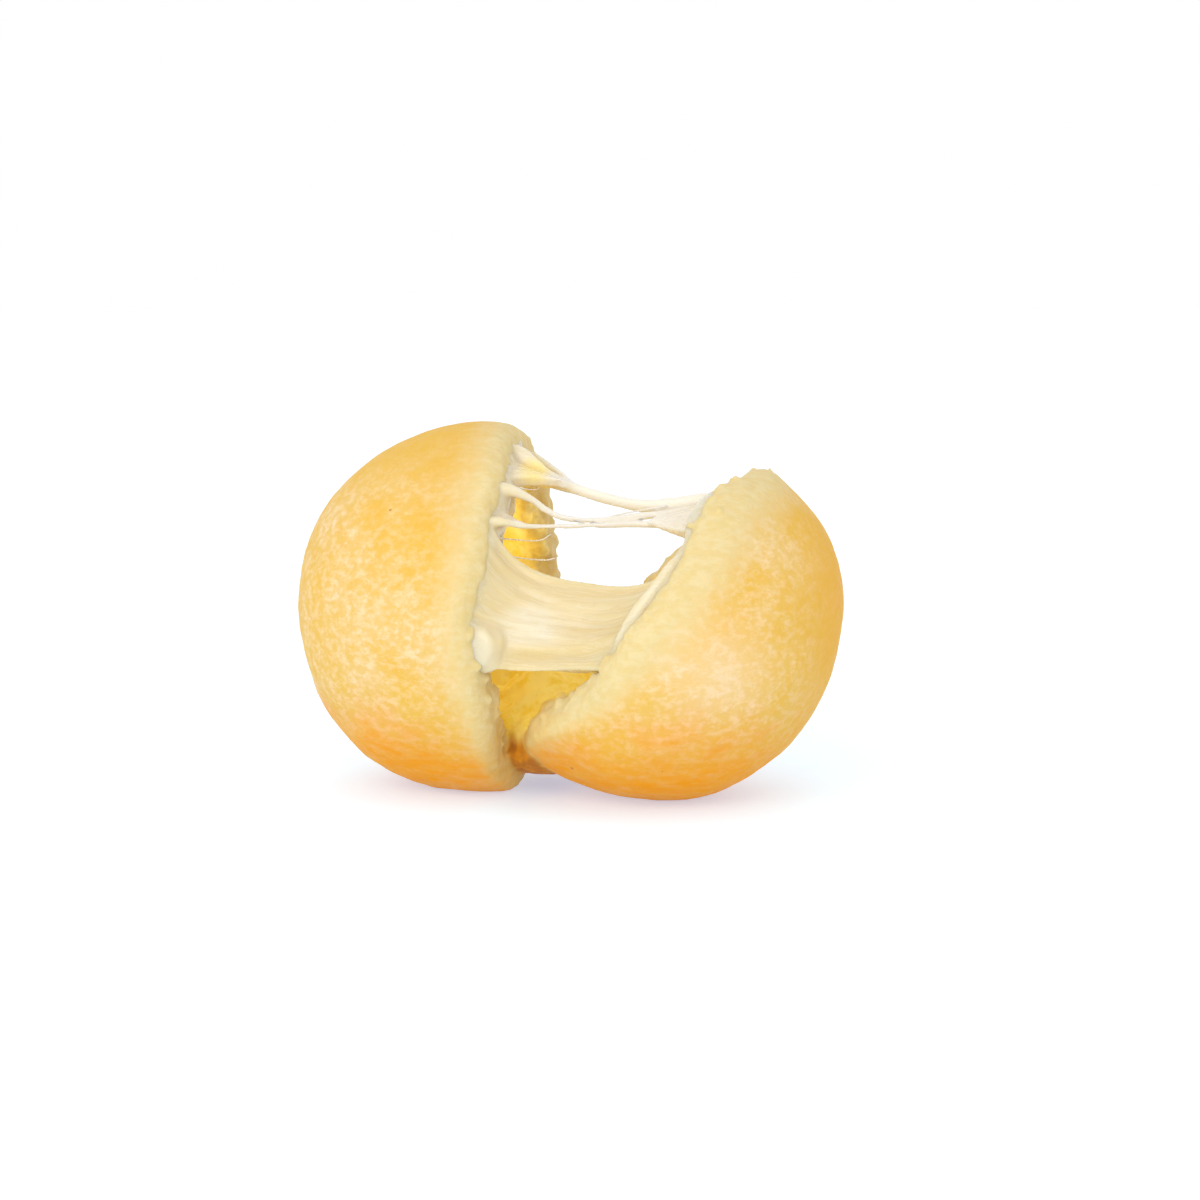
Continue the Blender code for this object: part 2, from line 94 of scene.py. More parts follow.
FINE_CRAG_TURNS = 7.8
FINE_CRAG_SHARE = 0.15
CRUMB_CRAG = 1.4 * MM
CRUMB_CRAG_SIZE = 5.5 * MM
CRUST_FROM_DOME = (0.9, 0.97)
CRUST_ENDS_AT = (-1.5 * MM, 1.0 * MM)
LIP_HEIGHTS = (-6.0 * MM, 0.5 * MM)
LIP_FROM_AXIS = (0.45, 0.75)
HOLLOW_ENDS_FROM_AXIS = (0.72, 0.86)
HOLLOW_ENDS_FROM_DOME = (0.80, 0.88)
HINGE_CENTRE = Vector((-3.0, 3.6, 6.6)) * MM
HINGE_HALF_SIZE = Vector((9.0, 12.2, 5.0)) * MM
HINGE_CROWN = 1.7
HINGE_CROWN_SPAN = (-0.1, 0.6)
HINGE_CRAG = 1.1 * MM
HINGE_CRAG_SPAN = (-0.4, 0.3)
HINGE_CRAG_TURNS = 2.2
HINGE_CRAG_MEAN = 0.5
HINGE_CRUMB_SPAN = (-0.6, 0.3)
HINGE_PAST_EDGE = (-8, 12)
HINGE_TORN_HEIGHTS = (1.0 * MM, 4.0 * MM)
# Heights below which the crust in the crease between the lobes gets the darker crease colour, partly
# browned crust and partly painted shade
CREASE_HEIGHTS = (6.5 * MM, 9.5 * MM)

# Sheets and strands of cheese, close to those in the solids
WEB_THICKNESS = (3.6 * MM, 1.5 * MM, 3.2 * MM)
FAN_THICKNESS = (0.8 * MM, 1.0 * MM, 2.0 * MM)
ROOT_THICKNESS = (2.2 * MM, 1.3 * MM, 0.8 * MM)
WEB_SAG = (4.7 * MM, -0.7 * MM)
FAN_SAG = (1.0 * MM, -0.2 * MM)
ROOT_SAG = (0.8 * MM, 1.0 * MM)
WEB_BOW = 1.6 * MM
BOW_SPAN = (0.2, 0.8)
SAG_SHARPNESS = 3
THINNING = 3
SHEET_RIDGES = ((1.5, 1.3, 0.33, 3), (0.7, 1.8, 0.9, 7), (0.25, 2.6, 2.1, 5))
RIDGE_HEIGHT = 0.32 * MM
SHEET_UNEVENNESS = 0.3
SHEET_SPARE = 0.35
CHEESE_SMOOTHING = 4
WEB_LEFT_EDGE = ((35, 19.0, 0.4), (-12, 19.4, 0.4))
WEB_RIGHT_EDGE = ((27, 18.8, 1.6), (-20, 18.8, 1.4))
FAN_RIGHT_EDGE = ((84, 19.6, 0.4), (37, 19.0, 2.2))
ROOT_LEFT_EDGE = ((88, 18.8, 0.2), (56, 18.8, 0.4))
BEAD_PLACE = (-6, 19.9, 1.9)
BEAD_HALF_SIZE = Vector((1.4, 3.0, 2.7)) * MM
FAN_LEFT_EDGE = (Vector((8.4, -6.3, 35.6)) * MM, Vector((9.0, -9.3, 33.8)) * MM)
ROOT_RIGHT_EDGE = (Vector((0.6, -3.6, 37.5)) * MM, Vector((0.6, -3.8, 37.3)) * MM)
UPPER_PLACES = (
    (-6.2, -1.4, 40.8), (-2.8, -2.6, 38.7), (-0.4, -3.4, 37.7), (4.1, -4.8, 36.4),
    (8.8, -6.4, 35.6), (14.1, -7.0, 36.0), (19.5, -7.0, 36.7), (22.2, -6.4, 37.5),
)
SLANTED_PLACES = (
    (-7.6, -10.2, 37.9), (-4.9, -10.0, 36.8), (-3.1, -9.8, 35.5), (-0.8, -9.8, 34.5),
    (3.4, -9.5, 34.2), (9.3, -8.4, 34.7), (14.0, -8.8, 35.3), (19.0, -10.5, 36.0),
)
LEVEL_PLACES = (
    (-8.3, -13.4, 34.4), (-5.5, -12.6, 33.8), (-1.9, -11.6, 33.7), (3.4, -10.3, 33.7),
    (9.3, -9.4, 33.7), (14.8, -12.0, 33.4),
)
STRANDS = {
    "upper": (UPPER_PLACES, (1.5 * MM, 0.8 * MM)),
    "slanted": (SLANTED_PLACES, (0.75 * MM, 0.65 * MM)),
    "level": (LEVEL_PLACES, (0.6 * MM, 0.6 * MM)),
}
FILMS = {"upper": 0.9, "slanted": 0.9, "level": 0.9, "fold": 0.3}
STRAND_FLARE = 1.0
STRAND_SIDES = 20
FILM_STARTS = (-8.0, -2.0)
STRAND_ROOT = 2.8
STRAND_ROOT_SPAN = 6.5 * MM
ROOT_FLARE = 0.7
LEFT_LINING_SPAN = (-42, 106)
RIGHT_LINING_SPAN = (-40, 110)
LEFT_LINING_MIDDLE = (16.6 * MM, -1.2 * MM)
RIGHT_LINING_MIDDLE = (16.6 * MM, -0.6 * MM)
LINING_HALF_SIZE = (1.9 * MM, 3.2 * MM)
LINING_END_SIZE = 0.35
LINING_ROUNDNESS = 0.6

# How finely the shapes are made before they are melted into one skin
TURN_STEPS = 280
HOLLOW_STEPS = 44
LIP_STEPS = 40
DOME_STEPS = 120
WELD = 0.001 * MM

# Crumb and fibres of the torn dough
FIBRE_RELIEF = 0.16 * MM
FIBRE_TURNS = 26.0
FIBRE_LENGTH = 1.8
CRUMB_RELIEF = 0.75 * MM
CRUMB_RELIEF_SIZE = 2.4 * MM
CRUMB_LAYERS = 0.5 * MM
CRUMB_LAYER_SIZES = (3.4, 3.4, 1.0)
HINGE_FIBRE_SIZES = (1.1, 1.1, 4.5)
PORE_DEPTH = 0.8 * MM
PORE_SIZE = 3.2 * MM
PORE_RIM = (0.12, 0.42)
TORN_STARTS = (-0.6, 1.2)
CRUMB_STARTS = (6.0, 10.0)
LUMP_SIZES = (0.45 * MM, 1.15 * MM)

# Lumps of crumb: lobe, part of the full number, distances past the crust's edge, angles and seed
ALL_ROUND = (-180, 180)
LUMPS = (
    (0, 1, (2.6, 24.0), ALL_ROUND, 4),
    (1, 1, (2.6, 24.0), ALL_ROUND, 9),
    (0, 3, (3.0, 9.0), (118, 180), 5),
    (1, 2, (1.6, 4.5), (98, 178), 7),
    (1, 3, (4.0, 12.0), (-75, -15), 8),
    (0, 3, (5.0, 14.0), (-75, -15), 6),
)

# Fine unevenness of the skin, in millimetres: dimples and wrinkles of the crust, grain of the tear
DIMPLE_HEIGHT = 0.045
WRINKLE_HEIGHT = 0.11
GRAIN_HEIGHT = 0.10
DIMPLE_SIZE = 1.7 * MM
GRAIN_SIZE = 0.9 * MM
WRINKLE_SIZES = (3.2, 3.2, 0.8)
WRINKLED_HEIGHTS = (3.0 * MM, 12.0 * MM)
CRUST_ENDS_PAST = (-0.5, 0.8)
DOUGH_SMOOTHING = 3
DOUGH_KEPT = 0.64

# Thin coats of cheese over the lips: angles, distances past the crust's edge, whiteness low and high
# up; the whiteness is thin cheese's paleness, lifted further as painted light against the shade on the
# coats
LEFT_COAT = ((-15, 104), (1.7, 9.0), (0.35, 0.35))
RIGHT_COAT = ((-24, 96), (3.6, 11.5), (0.25, 0.8))
COAT_THICKNESS = 0.6 * MM
COAT_LIFT = 0.15 * MM
COAT_HANG = 0.3 * MM
COAT_FADE = 3.2
WEB_FILLET = 0.35 * MM
COAT_SINK = 0.65 * MM

# Small films between the lip and the strands, and the fold where the web meets the right lip
SMALL_ROOTS = {
    "slanted_root": ((66, 18.8, 0.4), (54, 18.8, 0.4), (-5.7, -10.1, 37.4), (-5.6, -10.1, 36.8)),
    "level_root": ((48, 19.0, 0.6), (34, 19.2, 0.6), (-5.6, -12.7, 34.3), (-5.6, -12.9, 33.6)),
    "far_root": ((128, 18.8, 0.6), (104, 18.8, 0.6), (0.2, -2.6, 38.0), (0.2, -3.0, 37.6)),
}
SMALL_ROOT_FILM = (0.3, 1.0)
SMALL_ROOT_SAG = (0.7 * MM, 0.9 * MM)
SMALL_ROOT_THICKNESS = (1.9 * MM, 0.7 * MM, 0.6 * MM)
FOLD_MARKS = ((-17, 19.4, 2.0), (-8, 19.6, 2.9), (6, 19.6, 3.3), (20, 19.5, 3.4), (34, 19.0, 2.6))
FOLD_SIZE = (1.7 * MM, 1.5 * MM)
FOLD_FLARE = -0.4

# Where the crust has a painted highlight, where the cheese is milkier or yellower, and where the bead
# is whiter, partly as a painted highlight: centre, then half sizes, in millimetres
PAINTED_HIGHLIGHT_ZONE = ((16.5, -20.0, 19.0), (10.0, 14.0, 9.0))
MILKY_ZONE = ((-4.1, -14.5, 22.4), (5.4, 12.0, 3.6))
BLOB_HIGHLIGHT_ZONE = ((-10.4, -17.5, 19.6), (3.4, 8.0, 4.4))
YELLOW_ZONE = ((-4.2, -3.0, 39.4), (2.8, 9.0, 2.2))
BUTTER_ZONE = ((-3.6, -14.5, 19.3), (5.4, 12.0, 1.2))

# Hair-thin threads, each through a few places in millimetres
THREADS = (
    ((-8.3, -13.3, 32.4), (-4.4, 2.0, 30.6), (-2.9, 20.4, 29.6)),
    ((-7.3, -14.0, 30.3), (-3.6, 2.0, 28.2), (-2.5, 20.9, 26.4)),
    ((-0.8, -9.9, 34.6), (3.6, -9.9, 33.4), (8.4, -9.0, 34.3)),
    ((2.2, -9.9, 33.9), (6.0, -8.8, 34.9), (11.4, -7.6, 35.7)),
    ((-6.2, -10.0, 38.1), (-4.4, 2.0, 37.0), (-3.4, 13.0, 37.4)),
)
THREAD_WIDTH = 0.17 * MM
THREAD_FLARE = 0.2
THREAD_SIDES = 8

# Floor, light and camera, in metres but for the lens in millimetres
FLOOR_RADIUS = 3.0
# Floor near the bite, centre and half sizes in millimetres, is tinted cooler as painted light against
# the orange light that the crust throws into the shadows
FLOOR_TINT_ZONE = ((0.0, 0.0, 0.0), (90.0, 90.0, 90.0))
KEY_SIZE = 0.35
KEY_PLACE = Vector((-0.12, -0.38, 0.18))
KEY_TARGET = Vector((0.0, 0.0, 0.02))
CAMERA_LENS = 85
CAMERA_TARGET = Vector((3.85, -0.50, 23.5)) * MM
CAMERA_DISTANCE = 0.347
CAMERA_RISE = math.radians(7)


def smooth_step(low, high, value):
    share = min(1.0, max(0.0, (value - low) / (high - low)))
    return share * share * (3 - 2 * share)


def stretched(point, sizes):
    """A point counted in sizes of so many millimetres along X, Y and Z, for stretched noise."""
    return Vector(value / size for value, size in zip(point, sizes)) / MM


def between_marks(marks, angle):
    """A smooth value round a full turn through marks of (angle, value), the first one at 0."""
    turn = angle % 360
    following = marks[1:] + ((360, marks[0][1]),)
    for (low, low_value), (high, high_value) in zip(marks, following):
        if turn <= high:
            return low_value + (high_value - low_value) * smooth_step(low, high, turn)
    return marks[0][1]


class Lobe:
    """One side of the torn ball. Heights are measured from its tear face along the opening axis,
    and angles in degrees round that axis, from the near side (0) upwards (90). sense is 1 where
    angles run anticlockwise about the axis, and -1 where they run clockwise."""

    def __init__(self, name, spot, opening, radius, skirt, lip_rise, lip, rip, seed):
        self.name = name
        self.opening = opening.normalized()
        self.radius = radius
        self.skirt = skirt
        self.lip_rise = lip_rise
        self.lip = lip
        self.rip = rip
        self.seed = Vector((seed, seed * 0.7, seed * 1.3))
        height = radius - FOOT_SINK + skirt * self.opening.z
        self.centre = Vector((spot[0], spot[1], height))
        self.dome_centre = self.centre - skirt * self.opening
        near = Vector((0, -1, 0))
        self.near = (near - near.dot(self.opening) * self.opening).normalized()
        across = self.opening.cross(self.near)
        self.up = across if across.z > 0 else -across
        self.sense = 1 if self.near.cross(self.up).dot(self.opening) > 0 else -1

    def outward(self, angle):
        turn = math.radians(angle)
        return math.cos(turn) * self.near + math.sin(turn) * self.up

    def point(self, angle, radius, height):
        return self.centre + radius * self.outward(angle) + height * self.opening

    def cylindrical(self, point):
        """The angle, the radius and the height of a point."""
        offset = point - self.centre
        height = offset.dot(self.opening)
        offset -= height * self.opening
        angle = math.degrees(math.atan2(offset.dot(self.up), offset.dot(self.near)))
        return angle, offset.length, height

    def edge_rise(self, angle):
        """How far the uneven tear stands past its flat face in one direction."""
        outward = self.outward(angle)
        broad = noise.noise(outward * LIP_CRAG_TURNS + self.seed)
        small = noise.noise(outward * FINE_CRAG_TURNS + self.seed * 3)
        return between_marks(self.rip, angle) * MM + LIP_CRAG * (broad + FINE_CRAG_SHARE * small)

    def on_lip(self, angle, radius, height):
        """A place that moves with the uneven lip."""
        return self.point(angle, radius, height + self.edge_rise(angle))

    def frame(self):
        """The matrix that stands a shape turned about +Z on the tear face."""
        side = self.opening.cross(self.near)
        rotation = Matrix((self.near, side, self.opening)).transposed()
        return Matrix.Translation(self.centre) @ rotation.to_4x4()


def make_lobes():
    """The left lobe opens to the right and a little to the near side; the right one up to the left."""
    left_opening = Vector((math.cos(LEFT_TURN), -math.sin(LEFT_TURN), LEFT_TIP))
    right_opening = Vector((
        -math.cos(RIGHT_LEAN) * math.cos(RIGHT_TURN),
        -math.cos(RIGHT_LEAN) * math.sin(RIGHT_TURN),
        math.sin(RIGHT_LEAN),
    ))
    left = Lobe("left_lobe", LEFT_TEAR_SPOT, left_opening, LEFT_RADIUS, LEFT_SKIRT,
                LEFT_LIP_RISE, LEFT_LIP, LEFT_RIP, LEFT_SEED)
    right = Lobe("right_lobe", RIGHT_TEAR_SPOT, right_opening, RIGHT_RADIUS, RIGHT_SKIRT,
                 RIGHT_LIP_RISE, RIGHT_LIP, RIGHT_RIP, RIGHT_SEED)
    return left, right


def new_object(name, mesh):
    made = bpy.data.objects.new(name, mesh)
    bpy.context.scene.collection.objects.link(made)
    return made


def object_of(name, shape):
    """A mesh object of a bmesh, which is used up."""
    mesh = bpy.data.meshes.new(name)
    shape.to_mesh(mesh)
    shape.free()
    return new_object(name, mesh)


def applied(source, name):
    """A plain mesh object of what an object's modifiers or curve make. The source is used up."""
    bpy.context.view_layer.update()
    graph = bpy.context.evaluated_depsgraph_get()
    mesh = bpy.data.meshes.new_from_object(source.evaluated_get(graph))
    mesh.transform(source.matrix_world)
    bpy.data.objects.remove(source)
    mesh.name = name
    return new_object(name, mesh)


def joined(objects, name):
    """One mesh object of several, which are used up. Their surfaces stay as they are."""
    shape = bmesh.new()
    for piece in objects:
        shape.from_mesh(piece.data)
        bpy.data.objects.remove(piece)
    return object_of(name, shape)


def points_of(mesh):
    co = np.zeros(len(mesh.vertices) * 3, np.float32)
    mesh.vertices.foreach_get("co", co)
    return co.reshape(-1, 3)


def melted_into_one(source, name, voxel, rounds, kept=1.0):
    """One closed skin round all that overlaps in an object, with its steps smoothed away. kept is
    the share of its faces that stays, and the smoothest places lose the most."""
    remesh = source.modifiers.new("Melt", "REMESH")
    remesh.mode = "VOXEL"
    remesh.voxel_size = voxel
    remesh.use_smooth_shade = True
    smooth = source.modifiers.new("Settle", "SMOOTH")
    smooth.factor = 0.5
    smooth.iterations = rounds
    if kept < 1.0:
        thin = source.modifiers.new("Thin", "DECIMATE")
        thin.ratio = kept
    return applied(source, name)


def carried_over(source_points, values, mesh, rounds):
    """Values of the nearest source points, evened out along the mesh's edges."""
    tree = KDTree(len(source_points))
    for index, point in enumerate(source_points):
        tree.insert(point, index)
    tree.balance()
    nearest = [tree.find(vertex.co)[1] for vertex in mesh.vertices]
    found = np.asarray(values, float)[nearest]
    edges = np.zeros(len(mesh.edges) * 2, np.int32)
    mesh.edges.foreach_get("vertices", edges)
    a, b = edges.reshape(-1, 2).T
    count = np.bincount(a, minlength=len(found)) + np.bincount(b, minlength=len(found)) + 1.0
    for _ in range(rounds):
        total = found.copy()
        np.add.at(total, a, found[b])
        np.add.at(total, b, found[a])
        found = total / count.reshape((-1,) + (1,) * (found.ndim - 1))
    return found


def store_float(mesh, name, values):
    attribute = mesh.attributes.new(name, "FLOAT", "POINT")
    attribute.data.foreach_set("value", np.asarray(values, np.float32))


def store_vector(mesh, name, values):
    attribute = mesh.attributes.new(name, "FLOAT_VECTOR", "POINT")
    attribute.data.foreach_set("vector", np.asarray(values, np.float32).ravel())


def read_float(mesh, name):
    values = np.zeros(len(mesh.vertices), np.float32)
    mesh.attributes[name].data.foreach_get("value", values)
    return values


def read_vector(mesh, name):
    values = np.zeros(len(mesh.vertices) * 3, np.float32)
    mesh.attributes[name].data.foreach_get("vector", values)
    return values.reshape(-1, 3)


# Dough


def lobe_profile(lobe):
    """Radius, height and distance past the crust's edge in millimetres, from the hollow's floor over
    the lip and down the dome to its far pole."""
    rim_height = CRUST_EDGE_HEIGHT
    rim_radius = math.sqrt(lobe.radius ** 2 - (rim_height + lobe.skirt) ** 2)
    inner_radius = rim_radius - LIP_WIDTH
    points = []
    for step in range(HOLLOW_STEPS):
        angle = math.pi / 2 * step / HOLLOW_STEPS
        points.append((inner_radius * math.sin(angle), rim_height - HOLLOW_DEPTH * math.cos(angle)))
    for step in range(LIP_STEPS):
        angle = math.pi * (1 - step / LIP_STEPS)
        radius = rim_radius - LIP_WIDTH / 2 * (1 - math.cos(angle))
        points.append((radius, rim_height + lobe.lip_rise * math.sin(angle)))
    start = math.acos((rim_height + lobe.skirt) / lobe.radius)
    edge = len(points)
    for step in range(DOME_STEPS + 1):
        angle = start + (math.pi - start) * step / DOME_STEPS
        radius = lobe.radius * math.sin(angle) if step < DOME_STEPS else 0.0
        points.append((radius, lobe.radius * math.cos(angle) - lobe.skirt))
    lengths = [0.0]
    for first, second in zip(points, points[1:]):
        lengths.append(lengths[-1] + math.dist(first, second))
    return [(*point, (lengths[edge] - length) / MM) for point, length in zip(points, lengths)]


def swell(lobe, point):
    """How far the baked crust stands proud of a true ball at a point."""
    broad = noise.noise(point / CRUST_SWELL_SIZE + lobe.seed)
    small = noise.noise(point / FINE_SWELL_SIZE + lobe.seed * 2)
    return CRUST_SWELL * (broad + FINE_SWELL_SHARE * small)


def roughen(lobe, point, distance_past_edge):
    """Moves a point of the turned shape to where the uneven dough has it."""
    angle = lobe.cylindrical(point)[0]
    return broad_form(lobe, point) + crumb_relief(lobe, point, angle, distance_past_edge)


def broad_form(lobe, point):
    """Moves a point of the turned shape by the unevenness that the solids have too."""
    angle, distance, height = lobe.cylindrical(point)
    spread = distance / lobe.radius
    from_dome = point - lobe.dome_centre
    on_crust = smooth_step(*CRUST_FROM_DOME, from_dome.length / lobe.radius)
    on_crust *= 1 - smooth_step(*CRUST_ENDS_AT, height)
    moved = point + on_crust * swell(lobe, point) * from_dome.normalized()
    on_lip = smooth_step(*LIP_HEIGHTS, height) * smooth_step(*LIP_FROM_AXIS, spread)
    moved += on_lip * lobe.edge_rise(angle) * lobe.opening
    past_crust = max(0.0, height - CRUST_EDGE_HEIGHT)
    moved += past_crust * (between_marks(lobe.lip, angle) - 1) * lobe.opening
    in_hollow = 1 - smooth_step(*HOLLOW_ENDS_FROM_AXIS, spread)
    in_hollow *= 1 - smooth_step(*HOLLOW_ENDS_FROM_DOME, from_dome.length / lobe.radius)
    crag = noise.turbulence(point / CRUMB_CRAG_SIZE + lobe.seed, 2, False)
    moved += in_hollow * CRUMB_CRAG * crag * (lobe.opening - lobe.outward(angle))
    return moved


def crumb_relief(lobe, point, angle, distance_past_edge):
    """Fibres over the torn lip, and crumb with pores in the hollow behind it."""
    if distance_past_edge < TORN_STARTS[0]:
        return Vector()
    torn = smooth_step(*TORN_STARTS, distance_past_edge)
    deep = smooth_step(*CRUMB_STARTS, distance_past_edge)
    round_lip = lobe.outward(angle) * FIBRE_TURNS
    along = lobe.opening * (distance_past_edge / FIBRE_LENGTH)
    fibre = noise.noise(round_lip + along + lobe.seed)
    fibre += 0.6 * noise.noise(round_lip * 0.4 + along + lobe.seed * 2)
    crumb = noise.fractal(point / CRUMB_RELIEF_SIZE + lobe.seed, 0.9, 2.1, 3)
    cell = noise.voronoi(point / PORE_SIZE + lobe.seed)[0][0]
    pore = 1 - smooth_step(*PORE_RIM, cell)
    height = torn * FIBRE_RELIEF * fibre * (1 - 0.5 * deep)
    layered = stretched(point, CRUMB_LAYER_SIZES)
    layer = noise.noise(layered + lobe.seed) + 0.5 * noise.noise(layered * 2 + lobe.seed)
    height += deep * (CRUMB_RELIEF * crumb + CRUMB_LAYERS * layer - PORE_DEPTH * pore)
    return height * (lobe.opening - 0.6 * deep * lobe.outward(angle))


def surface_point(lobe, table, angle, past):
    """The place on a lobe's skin, without its fibres, at an angle and a distance past the crust's
    edge."""
    distances, radii, heights = table
    radius, height = np.interp(past, distances, radii), np.interp(past, distances, heights)
    return broad_form(lobe, lobe.point(angle, float(radius), float(height)))


def profile_table(lobe):
    """The profile's distances past the crust's edge, lowest first, with its radii and heights."""
    rows = np.array(lobe_profile(lobe))[::-1]
    return rows[:, 2], rows[:, 0], rows[:, 1]


def fine_lobe(lobe):
    """The profile turned about the opening axis, uneven and with a flat foot."""
    shape = bmesh.new()
    layer = shape.verts.layers.float.new("past_edge")
    chain = []
    for radius, height, distance in lobe_profile(lobe):
        vertex = shape.verts.new((radius, 0, height))
        vertex[layer] = distance
        chain.append(vertex)
    edges = [shape.edges.new(pair) for pair in zip(chain, chain[1:])]
    bmesh.ops.spin(shape, geom=chain + edges, cent=(0, 0, 0), axis=(0, 0, 1), angle=2 * math.pi,
                   steps=TURN_STEPS, use_merge=True, use_duplicate=False)
    bmesh.ops.remove_doubles(shape, verts=shape.verts, dist=WELD)
    bmesh.ops.transform(shape, matrix=lobe.frame(), verts=shape.verts)
    for vertex in shape.verts:
        vertex.co = roughen(lobe, vertex.co.copy(), vertex[layer])
        vertex.co.z = max(vertex.co.z, 0.0)
    bmesh.ops.recalc_face_normals(shape, faces=shape.faces)
    return object_of(lobe.name, shape)


def fine_hinge():
    """The crust and crumb between the lobes, as a flattened lump that reaches into both."""
    shape = bmesh.new()
    bmesh.ops.create_icosphere(shape, subdivisions=6, radius=1.0)
    layer = shape.verts.layers.float.new("past_edge")
    shaded_crease_layer = shape.verts.layers.float.new("shaded_crease")
    for vertex in shape.verts:
        outward = vertex.co.copy()
        crag = noise.turbulence(outward * HINGE_CRAG_TURNS, 2, False) - HINGE_CRAG_MEAN
        place = Vector(a * b for a, b in zip(outward, HINGE_HALF_SIZE))
        place.z *= 1 + (HINGE_CROWN - 1) * smooth_step(*HINGE_CROWN_SPAN, outward.z)
        place += HINGE_CRAG * crag * smooth_step(*HINGE_CRAG_SPAN, outward.z) * outward
        place += HINGE_CENTRE
        crumb = noise.fractal(place / CRUMB_RELIEF_SIZE, 0.9, 2.1, 3)
        fibre = noise.noise(stretched(place, HINGE_FIBRE_SIZES))
        relief = CRUMB_RELIEF * crumb + FIBRE_RELIEF * fibre
        place += relief * smooth_step(*HINGE_CRUMB_SPAN, outward.z) * outward
        torn = smooth_step(*HINGE_TORN_HEIGHTS, place.z)
        vertex[layer] = HINGE_PAST_EDGE[0] + (HINGE_PAST_EDGE[1] - HINGE_PAST_EDGE[0]) * torn
        # Crease mask: low on the hinge the crust in the crease is coloured darker, partly browned crust
        # and partly painted shade
        vertex[shaded_crease_layer] = 1 - smooth_step(*CREASE_HEIGHTS, place.z + HINGE_CRAG * crumb)
        vertex.co = place
    return object_of("hinge", shape)


def loose_lumps(lobe, lobe_object, count, past_span, angle_span, seed):
    """Small lumps of crumb that sit in the torn surface of a lobe, between two distances past the
    crust's edge and two angles."""
    draw = random.Random(seed)
    past = read_float(lobe_object.data, "past_edge").tolist()
    places = [index for index in range(len(past)) if past_span[0] < past[index] < past_span[1]]
    if angle_span != ALL_ROUND:
        places = [index for index in places if angle_span[0]
                  < lobe.cylindrical(lobe_object.data.vertices[index].co)[0] < angle_span[1]]
    shape = bmesh.new()
    layer = shape.verts.layers.float.new("past_edge")
    for _ in range(count):
        index = draw.choice(places)
        centre = lobe_object.data.vertices[index].co
        size = draw.uniform(*LUMP_SIZES) * (0.6 if past[index] < 8 else 1.0)
        stretch = Vector((draw.uniform(0.7, 1.3), draw.uniform(0.7, 1.3), draw.uniform(0.7, 1.3)))
        made = bmesh.ops.create_icosphere(shape, subdivisions=3, radius=size)
        for vertex in made["verts"]:
            bump = 1 + 0.35 * noise.noise(vertex.co / size * 1.4 + Vector((index, 0, 0)))
            vertex.co = Vector(a * b for a, b in zip(vertex.co * bump, stretch)) + centre
            vertex[layer] = past[index]
    return object_of("lumps", shape)


def settle_skin(mesh, past_edge, relief):
    """Presses fine unevenness into the skin: dimples and wrinkles in the crust, crumb in the tear."""
    normals = [vertex.normal.copy() for vertex in mesh.vertices]
    for vertex, normal, past in zip(mesh.vertices, normals, past_edge.tolist()):
        point = vertex.co.copy()
        crust = 1 - smooth_step(*CRUST_ENDS_PAST, past)
        low = 1 - smooth_step(*WRINKLED_HEIGHTS, point.z)
        dimple = noise.noise(point / DIMPLE_SIZE) + 0.6 * noise.noise(point / GRAIN_SIZE)
        wrinkle = noise.noise(stretched(point, WRINKLE_SIZES) + Vector((5, 9, 2)))
        height = crust * (DIMPLE_HEIGHT * dimple + WRINKLE_HEIGHT * low * wrinkle)
        height += (1 - crust) * GRAIN_HEIGHT * noise.noise(point / GRAIN_SIZE + Vector((3, 1, 4)))
        vertex.co = point + relief * height * MM * normal
        vertex.co.z = max(vertex.co.z, 0.0)


# Cheese


def lip_edge(lobe, edge):
    """A function of a share from 0 to 1 that runs along the lip between two places on it."""
    def place(share):
        angle, radius, height = (a + (b - a) * share for a, b in zip(*edge))
        return lobe.on_lip(angle, radius * MM, height * MM)
    return place


def free_edge(edge):
    """A function of a share from 0 to 1 that runs straight between two free places."""
    return lambda share: edge[0].lerp(edge[1], share)


def thickened(sheet, name, thickness, group=""):
    """A sheet made solid about its middle. group names its vertices' shares of the thickness."""
    solid = sheet.modifiers.new("Solidify", "SOLIDIFY")
    solid.thickness = thickness
    solid.offset = 0
    solid.vertex_group = group
    return applied(sheet, name)


